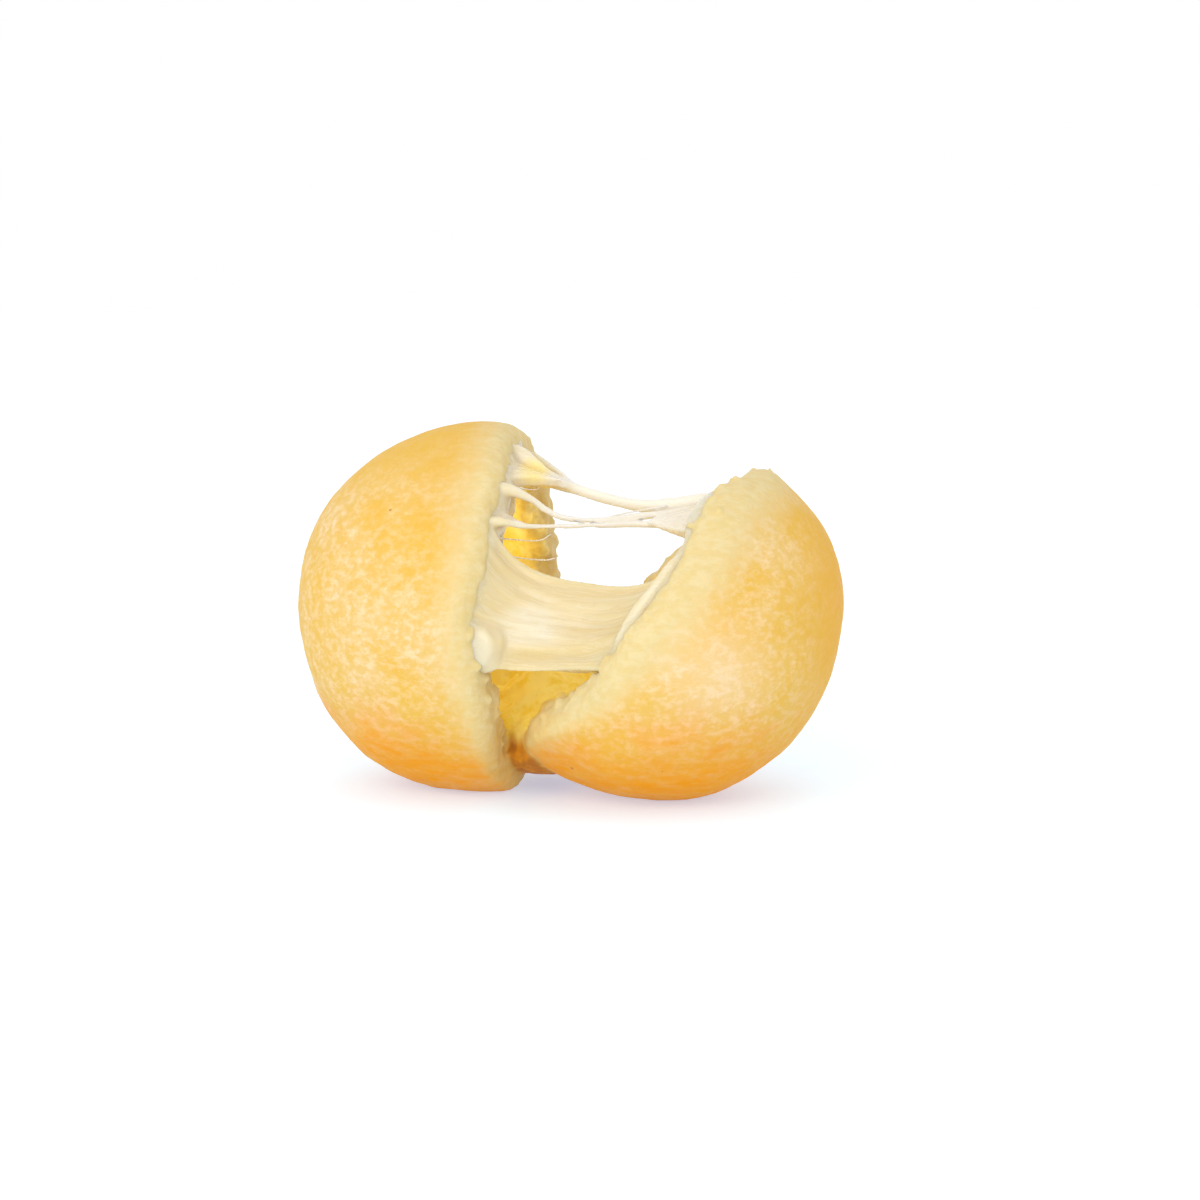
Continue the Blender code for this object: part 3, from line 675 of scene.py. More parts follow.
def fine_sheet(name, left_edge, right_edge, sag, bow, thickness, grid, film, bays):
    """A stretched sheet between two edges, each a function of a share from its top to its bottom,
    with ridges along the way it was pulled. film says how thin and white its left and its right
    end look, and bays how far these two ends curve in between their corners."""
    shape = bmesh.new()
    bmesh.ops.create_grid(shape, x_segments=grid[0], y_segments=grid[1], size=0.5)
    weights = shape.verts.layers.float.new("thickness")
    flow = shape.verts.layers.float_vector.new("flow")
    thinness = shape.verts.layers.float.new("film")
    wide_most = max(thickness) * (1 + SHEET_SPARE)
    for vertex in shape.verts:
        across, down = vertex.co.x + 0.5, 0.5 - vertex.co.y
        arch = 4 * down * (1 - down)
        across += arch * (bays[0] * (1 - across) - bays[1] * across)
        span = 1 - abs(2 * across - 1) ** SAG_SHARPNESS
        place = left_edge(down).lerp(right_edge(down), across)
        place.z += span * (sag[1] * down - sag[0] * (1 - down))
        place.y += bow * span * math.sin(math.pi * (BOW_SPAN[0] + (BOW_SPAN[1] - BOW_SPAN[0]) * down))
        tall = (left_edge(0) - left_edge(1)).length / MM
        ridge = sum(height * noise.noise(Vector((across * along, down * tall * over, seed)))
                    for height, along, over, seed in SHEET_RIDGES)
        place.y += RIDGE_HEIGHT * ridge * span
        vertex.co = place
        wide = thickness[1]
        wide += (thickness[0] - thickness[1]) * (1 - across) ** THINNING
        wide += (thickness[2] - thickness[1]) * across ** THINNING
        wide *= 1 + SHEET_UNEVENNESS * noise.noise(Vector((across * 2.2, down * tall * 0.9, 11)))
        vertex[weights] = min(1.0, wide / wide_most)
        vertex[flow] = Vector((across * 20, down * tall, 0))
        vertex[thinness] = film[0] * (1 - across) + film[1] * across
    sheet = object_of(name + "_sheet", shape)
    group = sheet.vertex_groups.new(name="thickness")
    for index, value in enumerate(sheet.data.attributes["thickness"].data):
        group.add([index], value.value, "REPLACE")
    return thickened(sheet, name, wide_most, group.name)


def lip_coat(name, lobe, spans):
    """Cheese smeared thinly over a lip and down the wall behind it. It rises out of the dough
    along an uneven edge."""
    (first, last), (inner, outer), (low_white, high_white) = spans
    table = profile_table(lobe)
    shape = bmesh.new()
    bmesh.ops.create_grid(shape, x_segments=150, y_segments=44, size=0.5)
    flow = shape.verts.layers.float_vector.new("flow")
    film = shape.verts.layers.float.new("film")
    for vertex in shape.verts:
        share, down = vertex.co.x + 0.5, vertex.co.y + 0.5
        angle = first + (last - first) * share
        past = inner + (outer - inner) * down
        place = surface_point(lobe, table, angle, past)
        beside = surface_point(lobe, table, angle + 0.6, past) - place
        onward = surface_point(lobe, table, angle, past + 0.4) - place
        normal = lobe.sense * beside.cross(onward).normalized()
        ragged = noise.noise(Vector((angle / 9, 5, lobe.seed.x)))
        ragged += 0.5 * noise.noise(Vector((angle / 3.5, 8, lobe.seed.x)))
        faded = (past - inner - 0.8 - 0.9 * ragged) / COAT_FADE
        rim = min(6 * share, 6 * (1 - share), faded, 3.5 * (1 - down))
        lift = COAT_LIFT + COAT_HANG * smooth_step(4.0, 8.0, past)
        by_web = smooth_step(-18, -6, angle) * (1 - smooth_step(28, 44, angle))
        lift += WEB_FILLET * by_web * smooth_step(1.5, 4.0, past) * (1 - smooth_step(5.0, 7.5, past))
        lift -= (COAT_SINK + lift) * (1 - smooth_step(0.0, 1.0, rim))
        vertex.co = place + lift * normal
        vertex[flow] = Vector((past, math.radians(angle) * 6, 40))
        # The coats are whitened beyond thin cheese's own paleness, as painted light against the shade
        # they lie in
        white = low_white + (high_white - low_white) * smooth_step(30, 60, angle)
        vertex[film] = white * smooth_step(0.1, 0.8, rim)
    bmesh.ops.recalc_face_normals(shape, faces=shape.faces)
    return thickened(object_of(name + "_sheet", shape), name, COAT_THICKNESS)


def rooted(lobe, places):
    """Places of a strand with one more before them, inside the dough of the lobe's lip."""
    return (tuple(Vector(places[0]) - STRAND_ROOT * lobe.opening),) + tuple(places)


def smooth_path(places, steps):
    """Points in metres on a smooth path through places in millimetres."""
    marks = [Vector(place) * MM for place in places]
    marks = [2 * marks[0] - marks[1]] + marks + [2 * marks[-1] - marks[-2]]
    path = []
    for before, first, second, after in zip(marks, marks[1:], marks[2:], marks[3:]):
        leaving, arriving = first + (second - before) / 6, second - (after - first) / 6
        path += geometry.interpolate_bezier(first, leaving, arriving, second, steps)[:-1]
    return path + [marks[-2]]


def drawn_strand(name, places, size, flare, sides):
    """A drawn-out strand through several places, thinnest in the middle. size is how tall and
    how deep it is."""
    path = smooth_path(places, 14)
    shape = bmesh.new()
    rings = []
    for index, centre in enumerate(path):
        ahead = path[min(index + 1, len(path) - 1)] - path[max(index - 1, 0)]
        side = ahead.cross(Vector((0, 0, 1))).normalized()
        top = side.cross(ahead).normalized()
        wide = 1 + flare * abs(2 * index / (len(path) - 1) - 1) ** 2
        wide += ROOT_FLARE * flare * (1 - smooth_step(0, STRAND_ROOT_SPAN, (centre - path[0]).length))
        wide *= 1 + 0.2 * noise.noise(centre / (2.6 * MM) + Vector((size[0] / MM, 0, 0)))
        ring = []
        for step in range(sides):
            turn = 2 * math.pi * step / sides
            offset = size[0] / 2 * math.sin(turn) * top + size[1] / 2 * math.cos(turn) * side
            ring.append(shape.verts.new(centre + wide * offset))
        rings.append(ring)
    for first, second in zip(rings, rings[1:]):
        for step in range(sides):
            shape.faces.new((first[step], first[step - 1], second[step - 1], second[step]))
    shape.faces.new(rings[0])
    shape.faces.new(rings[-1])
    bmesh.ops.recalc_face_normals(shape, faces=shape.faces)
    return object_of(name, shape)


def small_root(name, lobe, edges):
    """A small film between a lip and the start of a strand."""
    top, bottom, upper, lower = edges
    return fine_sheet(name, lip_edge(lobe, (top, bottom)),
                      free_edge((Vector(upper) * MM, Vector(lower) * MM)), SMALL_ROOT_SAG, 0.0,
                      SMALL_ROOT_THICKNESS, (50, 44), SMALL_ROOT_FILM, (0.0, 0.0))


def over_lip_bead(lobe):
    """A rounded bead of cheese that lies over the lip."""
    shape = bmesh.new()
    bmesh.ops.create_icosphere(shape, subdivisions=5, radius=1.0)
    for vertex in shape.verts:
        vertex.co *= 1 + 0.22 * noise.noise(vertex.co * 1.3 + Vector((4, 2, 8)))
    bmesh.ops.scale(shape, vec=BEAD_HALF_SIZE, verts=shape.verts)
    angle, radius, height = BEAD_PLACE
    outward = lobe.outward(angle)
    along = lobe.opening.cross(outward)
    turned = Matrix((outward, along, lobe.opening)).transposed().to_4x4()
    place = lobe.on_lip(angle, radius * MM, height * MM)
    bmesh.ops.transform(shape, matrix=Matrix.Translation(place) @ turned, verts=shape.verts)
    return object_of("bead", shape)


def hollow_lining(name, lobe, span, middle):
    """A crescent of cheese on the wall of a lobe's hollow, thinning towards both ends."""
    shape = bmesh.new()
    ring = []
    for side in range(36):
        turn = 2 * math.pi * side / 36
        radius = middle[0] + LINING_HALF_SIZE[0] * math.cos(turn)
        height = middle[1] + LINING_HALF_SIZE[1] * math.sin(turn)
        ring.append(shape.verts.new(lobe.point(span[0], radius, height)))
    start = shape.faces.new(ring)
    bmesh.ops.spin(shape, geom=[start] + list(start.edges) + ring, cent=lobe.centre,
                   axis=lobe.opening, angle=lobe.sense * math.radians(span[1] - span[0]), steps=90,
                   use_duplicate=False)
    for vertex in shape.verts:
        angle, radius, height = lobe.cylindrical(vertex.co)
        share = min(1.0, max(0.0, (angle - span[0]) / (span[1] - span[0])))
        size = LINING_END_SIZE + (1 - LINING_END_SIZE) * math.sin(math.pi * share) ** LINING_ROUNDNESS
        uneven = 1 + 0.22 * noise.noise(vertex.co / (3.4 * MM) + lobe.seed)
        radius = middle[0] + (radius - middle[0]) * size * uneven
        vertex.co = lobe.on_lip(angle, radius, middle[1] + (height - middle[1]) * size * uneven)
    bmesh.ops.recalc_face_normals(shape, faces=shape.faces)
    return object_of(name, shape)


def add_flow(made, offset, film):
    """Marks a strand or lining with the way the cheese was pulled, here along X. A bead has none."""
    co = points_of(made.data) / MM
    streaks = (co[:, 1] + co[:, 2]) * (0.1 if made.name == "bead" else 1.0)
    values = np.stack([co[:, 0], streaks, np.full(len(co), offset)], 1)
    if "flow" not in made.data.attributes:
        store_vector(made.data, "flow", values)
        store_float(made.data, "film", film * np.interp(co[:, 0], FILM_STARTS, (0.3, 1.0)))
    return made


# Nodes


class Tree:
    """Adds nodes to a tree and links what is given as an input."""

    def __init__(self, tree):
        self.tree = tree

    def node(self, kind, inputs=(), **settings):
        made = self.tree.nodes.new(kind)
        for key, value in settings.items():
            setattr(made, key, value)
        for key, value in dict(inputs).items():
            if isinstance(value, bpy.types.NodeSocket):
                self.tree.links.new(value, made.inputs[key])
            else:
                made.inputs[key].default_value = value
        return made

    def blend(self, share, first, second, kind="MIX"):
        """One colour laid over another by a share."""
        made = self.node("ShaderNodeMix", data_type="RGBA", blend_type=kind)
        for index, value in ((0, share), (6, first), (7, second)):
            if isinstance(value, bpy.types.NodeSocket):
                self.tree.links.new(value, made.inputs[index])
            else:
                made.inputs[index].default_value = value
        return made.outputs[2]

    def sum(self, first, second, kind="ADD"):
        return self.node("ShaderNodeMath", {0: first, 1: second}, operation=kind).outputs[0]

    def spread(self, value, low, high, start=0.0, end=1.0):
        """A value between two limits brought to a share."""
        made = self.node("ShaderNodeMapRange", {0: value, 1: low, 2: high, 3: start, 4: end},
                         interpolation_type="SMOOTHSTEP")
        return made.outputs[0]

    def around(self, place, centre, size):
        """A share that falls from 1 near a centre to 0 at a size away from it, in millimetres."""
        moved = self.node("ShaderNodeMapping", {
            "Vector": place, "Location": Vector(centre) * MM, "Scale": Vector(size) * MM},
            vector_type="TEXTURE")
        length = self.node("ShaderNodeVectorMath", {0: moved.outputs[0]}, operation="LENGTH")
        return self.spread(length.outputs["Value"], 1.0, 0.3)

    def attribute(self, name, output="Fac"):
        return self.node("ShaderNodeAttribute", attribute_name=name).outputs[output]


def new_group(name, inputs, outputs):
    group = bpy.data.node_groups.new(name, "ShaderNodeTree")
    for socket, kind, value in inputs:
        made = group.interface.new_socket(socket, in_out="INPUT", socket_type=kind)
        if value is not None:
            made.default_value = value
    for socket, kind in outputs:
        group.interface.new_socket(socket, in_out="OUTPUT", socket_type=kind)
    tree = Tree(group)
    return group, tree, tree.node("NodeGroupInput"), tree.node("NodeGroupOutput")


def patches_group():
    """Soft-edged patches of a chosen size that cover a chosen share of a surface."""
    group, tree, start, end = new_group(
        "Patches",
        [("Vector", "NodeSocketVector", None), ("Size", "NodeSocketFloat", 4.0),
         ("Cover", "NodeSocketFloat", 0.5), ("Softness", "NodeSocketFloat", 0.1),
         ("Detail", "NodeSocketFloat", 3.0)],
        [("Mask", "NodeSocketFloat")])
    scale = tree.sum(1000.0, start.outputs["Size"], "DIVIDE")
    pattern = tree.node("ShaderNodeTexNoise", {
        "Vector": start.outputs["Vector"], "Scale": scale, "Detail": start.outputs["Detail"],
        "Roughness": 0.66, "Distortion": 0.1})
    limit = tree.sum(1.0, start.outputs["Cover"], "SUBTRACT")
    low = tree.sum(limit, start.outputs["Softness"], "SUBTRACT")
    high = tree.sum(limit, start.outputs["Softness"])
    tree.tree.links.new(tree.spread(pattern.outputs[0], low, high), end.inputs["Mask"])
    return group


def specks_group():
    """Small separate dots, of which only some show."""
    group, tree, start, end = new_group(
        "Specks",
        [("Vector", "NodeSocketVector", None), ("Spacing", "NodeSocketFloat", 4.0),
         ("Size", "NodeSocketFloat", 0.1), ("Share", "NodeSocketFloat", 0.3)],
        [("Mask", "NodeSocketFloat")])
    scale = tree.sum(1000.0, start.outputs["Spacing"], "DIVIDE")
    cells = tree.node("ShaderNodeTexVoronoi", {"Vector": start.outputs["Vector"], "Scale": scale})
    dot = tree.spread(cells.outputs["Distance"], start.outputs["Size"],
                      tree.sum(start.outputs["Size"], 0.6, "MULTIPLY"))
    shown = tree.node("ShaderNodeSeparateColor", {0: cells.outputs["Color"]}).outputs[0]
    shown = tree.sum(shown, start.outputs["Share"], "LESS_THAN")
    tree.tree.links.new(tree.sum(dot, shown, "MULTIPLY"), end.inputs["Mask"])
    return group


def new_material(name):
    material = bpy.data.materials.new(name)
    material.use_nodes = True
    tree = Tree(material.node_tree)
    return material, tree, material.node_tree.nodes["Principled BSDF"]


def use_group(tree, group, **inputs):
    made = tree.node("ShaderNodeGroup", node_tree=group)
    for key, value in inputs.items():
        if isinstance(value, bpy.types.NodeSocket):
            tree.tree.links.new(value, made.inputs[key])
        else:
            made.inputs[key].default_value = value
    return made.outputs["Mask"]


def colour(value):
    return (*value, 1.0)


def dough_material(patches, specks, settings):
    """Golden mottled crust, browner below, with a pale fibrous lip, deep yellow crumb with a painted
    glow, and a crease darkened by painted shade.
    """
    material, tree, shader = new_material("baked_dough")
    place = tree.node("ShaderNodeTexCoord").outputs["Object"]
    split = tree.node("ShaderNodeSeparateXYZ", {0: place})
    height = split.outputs["Z"]
    past = tree.attribute("past_edge")
    ragged = tree.node("ShaderNodeTexNoise", {"Vector": place, "Scale": 1100.0, "Detail": 3.0})
    ragged = tree.sum(tree.sum(ragged.outputs[0], 0.5, "SUBTRACT"), 2.6, "MULTIPLY")
    on_right = tree.spread(split.outputs["X"], -0.002, 0.001)
    wrapped = tree.sum(tree.spread(height, 0.019, 0.007, 0.0, 2.4), on_right, "MULTIPLY")
    wrapped = tree.sum(wrapped, tree.spread(height, 0.009, 0.002, 0.0, 1.2))
    uneven_past = tree.sum(tree.sum(past, ragged), wrapped, "SUBTRACT")
    torn = tree.spread(uneven_past, -1.3, 1.7)
    golden, broad, middling, pale = mottled_gold(tree, patches, place, settings)
    crust, low = browned_crust(tree, patches, split, uneven_past, golden, broad, settings)
    specked = use_group(tree, specks, Vector=place, Spacing=5.5, Size=0.06, Share=0.3)
    crust = tree.blend(tree.sum(specked, 0.7, "MULTIPLY"), crust, colour(settings.speck))
    deep_mask = tree.spread(tree.sum(past, tree.sum(ragged, 1.4, "MULTIPLY")), 6.5, 11.5)
    lip, hollow = torn_colours(tree, patches, place, height, low, settings)
    result = tree.blend(torn, crust, tree.blend(deep_mask, lip, hollow))
    standing = tree.node("ShaderNodeMapping", {"Vector": place, "Scale": (1.0, 1.0, 0.35)})
    streaks = use_group(tree, patches, Vector=standing.outputs[0], Size=1.3, Cover=0.35,
                        Softness=0.3, Detail=2.0)
    # Crust in the crease: browned, and darkened further as painted shade
    shaded_crease = tree.blend(streaks, colour(settings.shaded_crease), colour(settings.browned))
    result = tree.blend(tree.attribute("shaded_crease"), result, shaded_crease)
    tree.tree.links.new(result, shader.inputs["Base Color"])
    # Painted glow: the crumb deep in the hollows gives off light of its own colour, stronger higher up
    # and none in the crease, standing in for light that comes through the thin dough
    crumb_painted_glow_share = tree.sum(deep_mask, tree.sum(1.0, tree.attribute("shaded_crease"), "SUBTRACT"), "MULTIPLY")
    crumb_painted_glow_share = tree.sum(crumb_painted_glow_share, tree.spread(height, 0.014, 0.034, 0.18, 1.0), "MULTIPLY")
    crumb_painted_glow = tree.blend(crumb_painted_glow_share, (0.0, 0.0, 0.0, 1.0), hollow)
    tree.tree.links.new(crumb_painted_glow, shader.inputs["Emission Color"])
    shader.inputs["Emission Strength"].default_value = settings.crumb_painted_glow
    glaze = tree.spread(middling, 0.0, 1.0, settings.crust_roughness, settings.crust_roughness + 0.12)
    rough = tree.node("ShaderNodeMix", {0: torn, 2: glaze, 3: 0.6}, data_type="FLOAT").outputs[0]
    tree.tree.links.new(rough, shader.inputs["Roughness"])
    grain = tree.node("ShaderNodeTexNoise", {"Vector": place, "Scale": 1500.0, "Detail": 3.0,
                                             "Roughness": 0.65})
    fine = tree.node("ShaderNodeTexNoise", {"Vector": place, "Scale": 620.0, "Detail": 2.0})
    relief = tree.sum(tree.sum(grain.outputs[0], 0.5, "MULTIPLY"), fine.outputs[0])
    relief = tree.sum(relief, tree.sum(pale, 0.12, "MULTIPLY"))
    bump = tree.node("ShaderNodeBump", {"Strength": 0.45, "Distance": 0.00028, "Height": relief})
    tree.tree.links.new(bump.outputs[0], shader.inputs["Normal"])
    shader.inputs["Specular IOR Level"].default_value = 0.06
    shader.inputs["Subsurface Weight"].default_value = 0.22
    shader.inputs["Subsurface Radius"].default_value = (1.0, 0.55, 0.2)
    shader.inputs["Subsurface Scale"].default_value = 0.0018
    return material


def mottled_gold(tree, patches, place, settings):
    """The crust's gold with its pale mottles, and the masks it is made with: broad, middling, pale."""
    broad = use_group(tree, patches, Vector=place, Size=9.0, Cover=0.5, Softness=0.2, Detail=2.0)
    golden = tree.blend(broad, colour(settings.crust), colour(settings.golden))
    middling = use_group(tree, patches, Vector=place, Size=2.6, Cover=0.5, Softness=0.2, Detail=3.0)
    golden = tree.blend(tree.sum(middling, 0.5, "MULTIPLY"), golden, colour(settings.golden))
    turned = tree.node("ShaderNodeMapping", {"Vector": place, "Scale": (1.0, 1.0, 1.5)})
    pale = use_group(tree, patches, Vector=turned.outputs[0], Size=1.25, Cover=0.46, Softness=0.14,
                     Detail=4.0)
    pale = tree.sum(pale, tree.spread(broad, 0.0, 1.0, 1.0, 0.55), "MULTIPLY")
    golden = tree.blend(tree.sum(pale, 0.7, "MULTIPLY"), golden, colour(settings.mottle_and_highlight))
    dotted = use_group(tree, patches, Vector=place, Size=0.8, Cover=0.42, Softness=0.12, Detail=2.0)
    golden = tree.blend(tree.sum(dotted, 0.3, "MULTIPLY"), golden, colour(settings.golden))
    return golden, broad, middling, pale


def browned_crust(tree, patches, split, uneven_past, golden, broad, settings):
    """Gold browned below, deeper gold high up, deeper gold and browner at the far right as painted
    shade, paler by the tear, with a painted highlight on the right lobe, and the mask of how low it is.
    """
    height = split.outputs["Z"]
    place = tree.node("ShaderNodeTexCoord").outputs["Object"]
    wavy = tree.sum(height, tree.sum(tree.sum(broad, 0.5, "SUBTRACT"), 0.005, "MULTIPLY"))
    low = tree.spread(wavy, 0.0155, 0.003)
    wrinkled = tree.node("ShaderNodeMapping", {"Vector": place, "Scale": (0.35, 0.35, 1.4)})
    wrinkled = use_group(tree, patches, Vector=wrinkled.outputs[0], Size=1.4, Cover=0.5, Softness=0.2,
                         Detail=4.0)
    low = tree.sum(low, tree.spread(wrinkled, 0.0, 1.0, 0.75, 1.0), "MULTIPLY")
    browned = tree.blend(low, golden, colour(settings.browned))
    # Deeper gold high up and towards the far right, and browner at the far right; towards the far right
    # this is painted shade where the crust turns away from the light
    high = tree.spread(wavy, 0.030, 0.042)
    shaded_right_side = tree.spread(split.outputs["X"], 0.023, 0.032)
    gold_high_and_shaded_right = tree.sum(tree.sum(high, shaded_right_side, "MAXIMUM"), 0.8, "MULTIPLY")
    browned = tree.blend(gold_high_and_shaded_right, browned, colour(settings.golden))
    shaded_far_right = tree.spread(split.outputs["X"], 0.025, 0.035, 0.0, 0.35)
    browned = tree.blend(shaded_far_right, browned, colour(settings.browned))
    # Painted highlight: a soft pale zone in the middle of the right lobe, in the colour of the mottles
    painted_highlight = tree.sum(tree.around(place, *PAINTED_HIGHLIGHT_ZONE), 0.35, "MULTIPLY")
    browned = tree.blend(painted_highlight, browned, colour(settings.mottle_and_highlight))
    near_edge = tree.spread(uneven_past, -3.2, -0.4)
    near_edge = tree.sum(near_edge, tree.spread(height, 0.006, 0.016, 0.1, 0.4), "MULTIPLY")
    return tree.blend(near_edge, browned, colour(settings.lip)), low


def torn_colours(tree, patches, place, height, low, settings):
    """The colours of the fibrous lip and of the crumb in the hollow, whose crumb turns deeper and
    darker lower down as painted shade.
    """
    fibre_place = tree.node("ShaderNodeMapping", {"Vector": place, "Scale": (0.7, 1.5, 1.5)})
    fibre = use_group(tree, patches, Vector=fibre_place.outputs[0], Size=1.5, Cover=0.5, Softness=0.15,
                      Detail=4.0)
    lip = tree.blend(tree.sum(fibre, 0.5, "MULTIPLY"), colour(settings.lip), colour(settings.lip_dark))
    lip = tree.blend(tree.sum(low, 0.75, "MULTIPLY"), lip, colour(settings.golden))
    crumb = use_group(tree, patches, Vector=place, Size=2.8, Cover=0.5, Softness=0.2, Detail=4.0)
    # Painted shade: lower in the hollow the crumb takes more of the deeper, darker yellow
    crumb = tree.sum(crumb, tree.spread(height, 0.020, 0.010, 0.0, 0.45), "MAXIMUM")
    return lip, tree.blend(crumb, colour(settings.hollow), colour(settings.deep_crumb_and_shade))


def cheese_material(patches, settings):
    """Creamy cheese with streaks along the way it was pulled, whiter in its films and strands."""
    material, tree, shader = new_material("melted_cheese")
    place = tree.node("ShaderNodeTexCoord").outputs["Object"]
    flow = tree.attribute("flow", "Vector")
    film = tree.attribute("film")
    streaked = tree.node("ShaderNodeMapping", {"Vector": flow, "Scale": (0.00014, 0.0011, 0.001)})
    broad = use_group(tree, patches, Vector=streaked.outputs[0], Size=2.2, Cover=0.5, Softness=0.25,
                      Detail=3.0)
    fine = use_group(tree, patches, Vector=streaked.outputs[0], Size=0.7, Cover=0.45, Softness=0.25,
                     Detail=2.0)
    cloudy = use_group(tree, patches, Vector=place, Size=4.0, Cover=0.5, Softness=0.2, Detail=4.0)
    base = tree.blend(broad, colour(settings.cream), colour(settings.butter))
    base = tree.blend(tree.sum(fine, 0.25, "MULTIPLY"), base, colour(settings.white))
    milky = tree.sum(tree.around(place, *MILKY_ZONE), tree.spread(cloudy, 0.0, 1.0, 0.5, 1.0),
                     "MULTIPLY")
    base = tree.blend(milky, base, colour(settings.white))
    # Whiter over the bead of cheese, partly its milky colour and partly a painted highlight
    bead_white_and_highlight = tree.sum(tree.around(place, *BLOB_HIGHLIGHT_ZONE), 0.7, "MULTIPLY")
    base = tree.blend(bead_white_and_highlight, base, colour(settings.white))
    base = tree.blend(tree.around(place, *BUTTER_ZONE), base, colour(settings.butter))
    base = tree.blend(film, base, colour(settings.film))
    base = tree.blend(tree.around(place, *YELLOW_ZONE), base, colour(settings.shining_through))
    tree.tree.links.new(base, shader.inputs["Base Color"])
    rough = tree.spread(fine, 0.0, 1.0, settings.roughness, settings.roughness + 0.14)
    tree.tree.links.new(rough, shader.inputs["Roughness"])
    ripple = tree.sum(tree.sum(broad, 0.6, "MULTIPLY"), tree.sum(fine, 0.4, "MULTIPLY"))
    bump = tree.node("ShaderNodeBump", {"Strength": 0.15, "Distance": 0.0002, "Height": ripple})
    tree.tree.links.new(bump.outputs[0], shader.inputs["Normal"])
    shader.inputs["Specular IOR Level"].default_value = 0.5
    shader.inputs["Subsurface Weight"].default_value = 0.6
    shader.inputs["Subsurface Radius"].default_value = (1.0, 0.85, 0.55)
    shader.inputs["Subsurface Scale"].default_value = 0.0028
    return material


def give(made, material):
    made.data.materials.clear()
    made.data.materials.append(material)
    made.data.shade_smooth()


def place_piece(made, slot, *nodes):
    """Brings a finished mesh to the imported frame, on its body and in the place of its solid."""
    made.data.transform(Matrix.Translation(STAND_SHIFT))
    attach(made, "root")
    if nodes:
        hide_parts(*nodes)


# Settings


def colour_property(name, description, default):
    return FloatVectorProperty(name=name, description=description, subtype="COLOR", size=3,
                               min=0.0, max=1.0, default=default)


class DoughSettings(bpy.types.PropertyGroup):
    """Detail and colours of the baked dough."""
    voxel: FloatProperty(name="Skin Detail", description="Size of the smallest form in the skin",
                         default=0.36 * MM, min=0.3 * MM, max=2 * MM, unit="LENGTH", precision=5)
    lumps: IntProperty(name="Crumb Lumps", description="Lumps of crumb in each torn side",
                       default=170, min=0, max=600)
    relief: FloatProperty(name="Relief", description="Height of the skin's fine unevenness",
                          default=1.0, min=0.0, max=3.0, subtype="FACTOR")
    crust_roughness: FloatProperty(name="Crust Roughness", description="Dullness of the crust",
                                   default=0.5, min=0.0, max=1.0, subtype="FACTOR")
    # Strength of the painted glow of the crumb, which stands in for light coming through the thin dough
    crumb_painted_glow: FloatProperty(name="Glow", description="Light that comes through the dough to the crumb",
                        default=0.54, min=0.0, max=1.0)
    crust: colour_property("Crust", "Light golden crust", (0.72, 0.505, 0.205))
    # Deeper golden patches, also laid on as painted shade towards the far right
    golden: colour_property("Golden", "Deeper golden patches", (0.72, 0.43, 0.07))
    # Pale fine mottles, also laid on the right lobe's middle as a painted highlight
    mottle_and_highlight: colour_property("Mottle", "Pale fine mottles", (0.83, 0.64, 0.42))
    # Browned base, also laid on as painted shade at the far right
    browned: colour_property("Browned", "Browned base", (0.80, 0.305, 0.002))
    speck: colour_property("Speck", "Tiny brown specks", (0.36, 0.12, 0.02))
    lip: colour_property("Torn Lip", "Pale torn lip", (0.71, 0.58, 0.31))
    lip_dark: colour_property("Torn Lip Shade", "Fibres of the torn lip", (0.66, 0.48, 0.17))
    # Yellow crumb, also the colour of the crumb's painted glow
    hollow: colour_property("Hollow", "Yellow crumb", (0.94, 0.80, 0.28))
    # Deeper yellow crumb, partly its own tone and partly painted shade low in the hollow
    deep_crumb_and_shade: colour_property("Hollow Shade", "Deeper yellow crumb", (0.84, 0.61, 0.06))
    # Browned crust darkened further by painted shade, for the crease between the lobes
    shaded_crease: colour_property("Crease", "Brown crease between the lobes", (0.42, 0.15, 0.02))


class CheeseSettings(bpy.types.PropertyGroup):
    """Detail and colours of the melted cheese."""
    voxel: FloatProperty(name="Skin Detail", description="Size of the smallest form in the skin",
                         default=0.214 * MM, min=0.15 * MM, max=1 * MM, unit="LENGTH", precision=5)
    roughness: FloatProperty(name="Roughness", description="Dullness of the cheese",
                             default=0.22, min=0.0, max=1.0, subtype="FACTOR")
    cream: colour_property("Cream", "Most of the cheese", (0.66, 0.55, 0.32))
    butter: colour_property("Butter", "Yellower streaks", (0.66, 0.51, 0.24))
    # Milky streaks, also laid over the bead partly as a painted highlight
    white: colour_property("White", "Milky streaks", (0.69, 0.63, 0.48))
    shining_through: colour_property("Shining Through", "Crumb seen through film",
                                     (0.82, 0.66, 0.26))
    film: colour_property("Film", "Thin films and strands", (0.75, 0.71, 0.63))


class StageSettings(bpy.types.PropertyGroup):
    """Floor, light and camera."""
    sky: FloatProperty(name="Sky", description="Strength of the light from all sides",
                       default=1.0, min=0.0, max=10.0)
    key_power: FloatProperty(name="Key Light", description="Power of the soft key light",
                             default=0.7, min=0.0, max=100.0, unit="POWER")
    floor: colour_property("Floor", "Plain pale floor", (0.68, 0.69, 0.60))
    # A cooler floor colour near the bite, painted light that cancels the orange bounce in its shadows
    floor_near_painted_tint: colour_property("Floor Beneath", "Floor close to the bite", (0.63, 0.70, 0.64))
    floor_glow: colour_property("Floor Glow", "Light that the floor gives off", (0.345, 0.40, 0.54))


# Operators


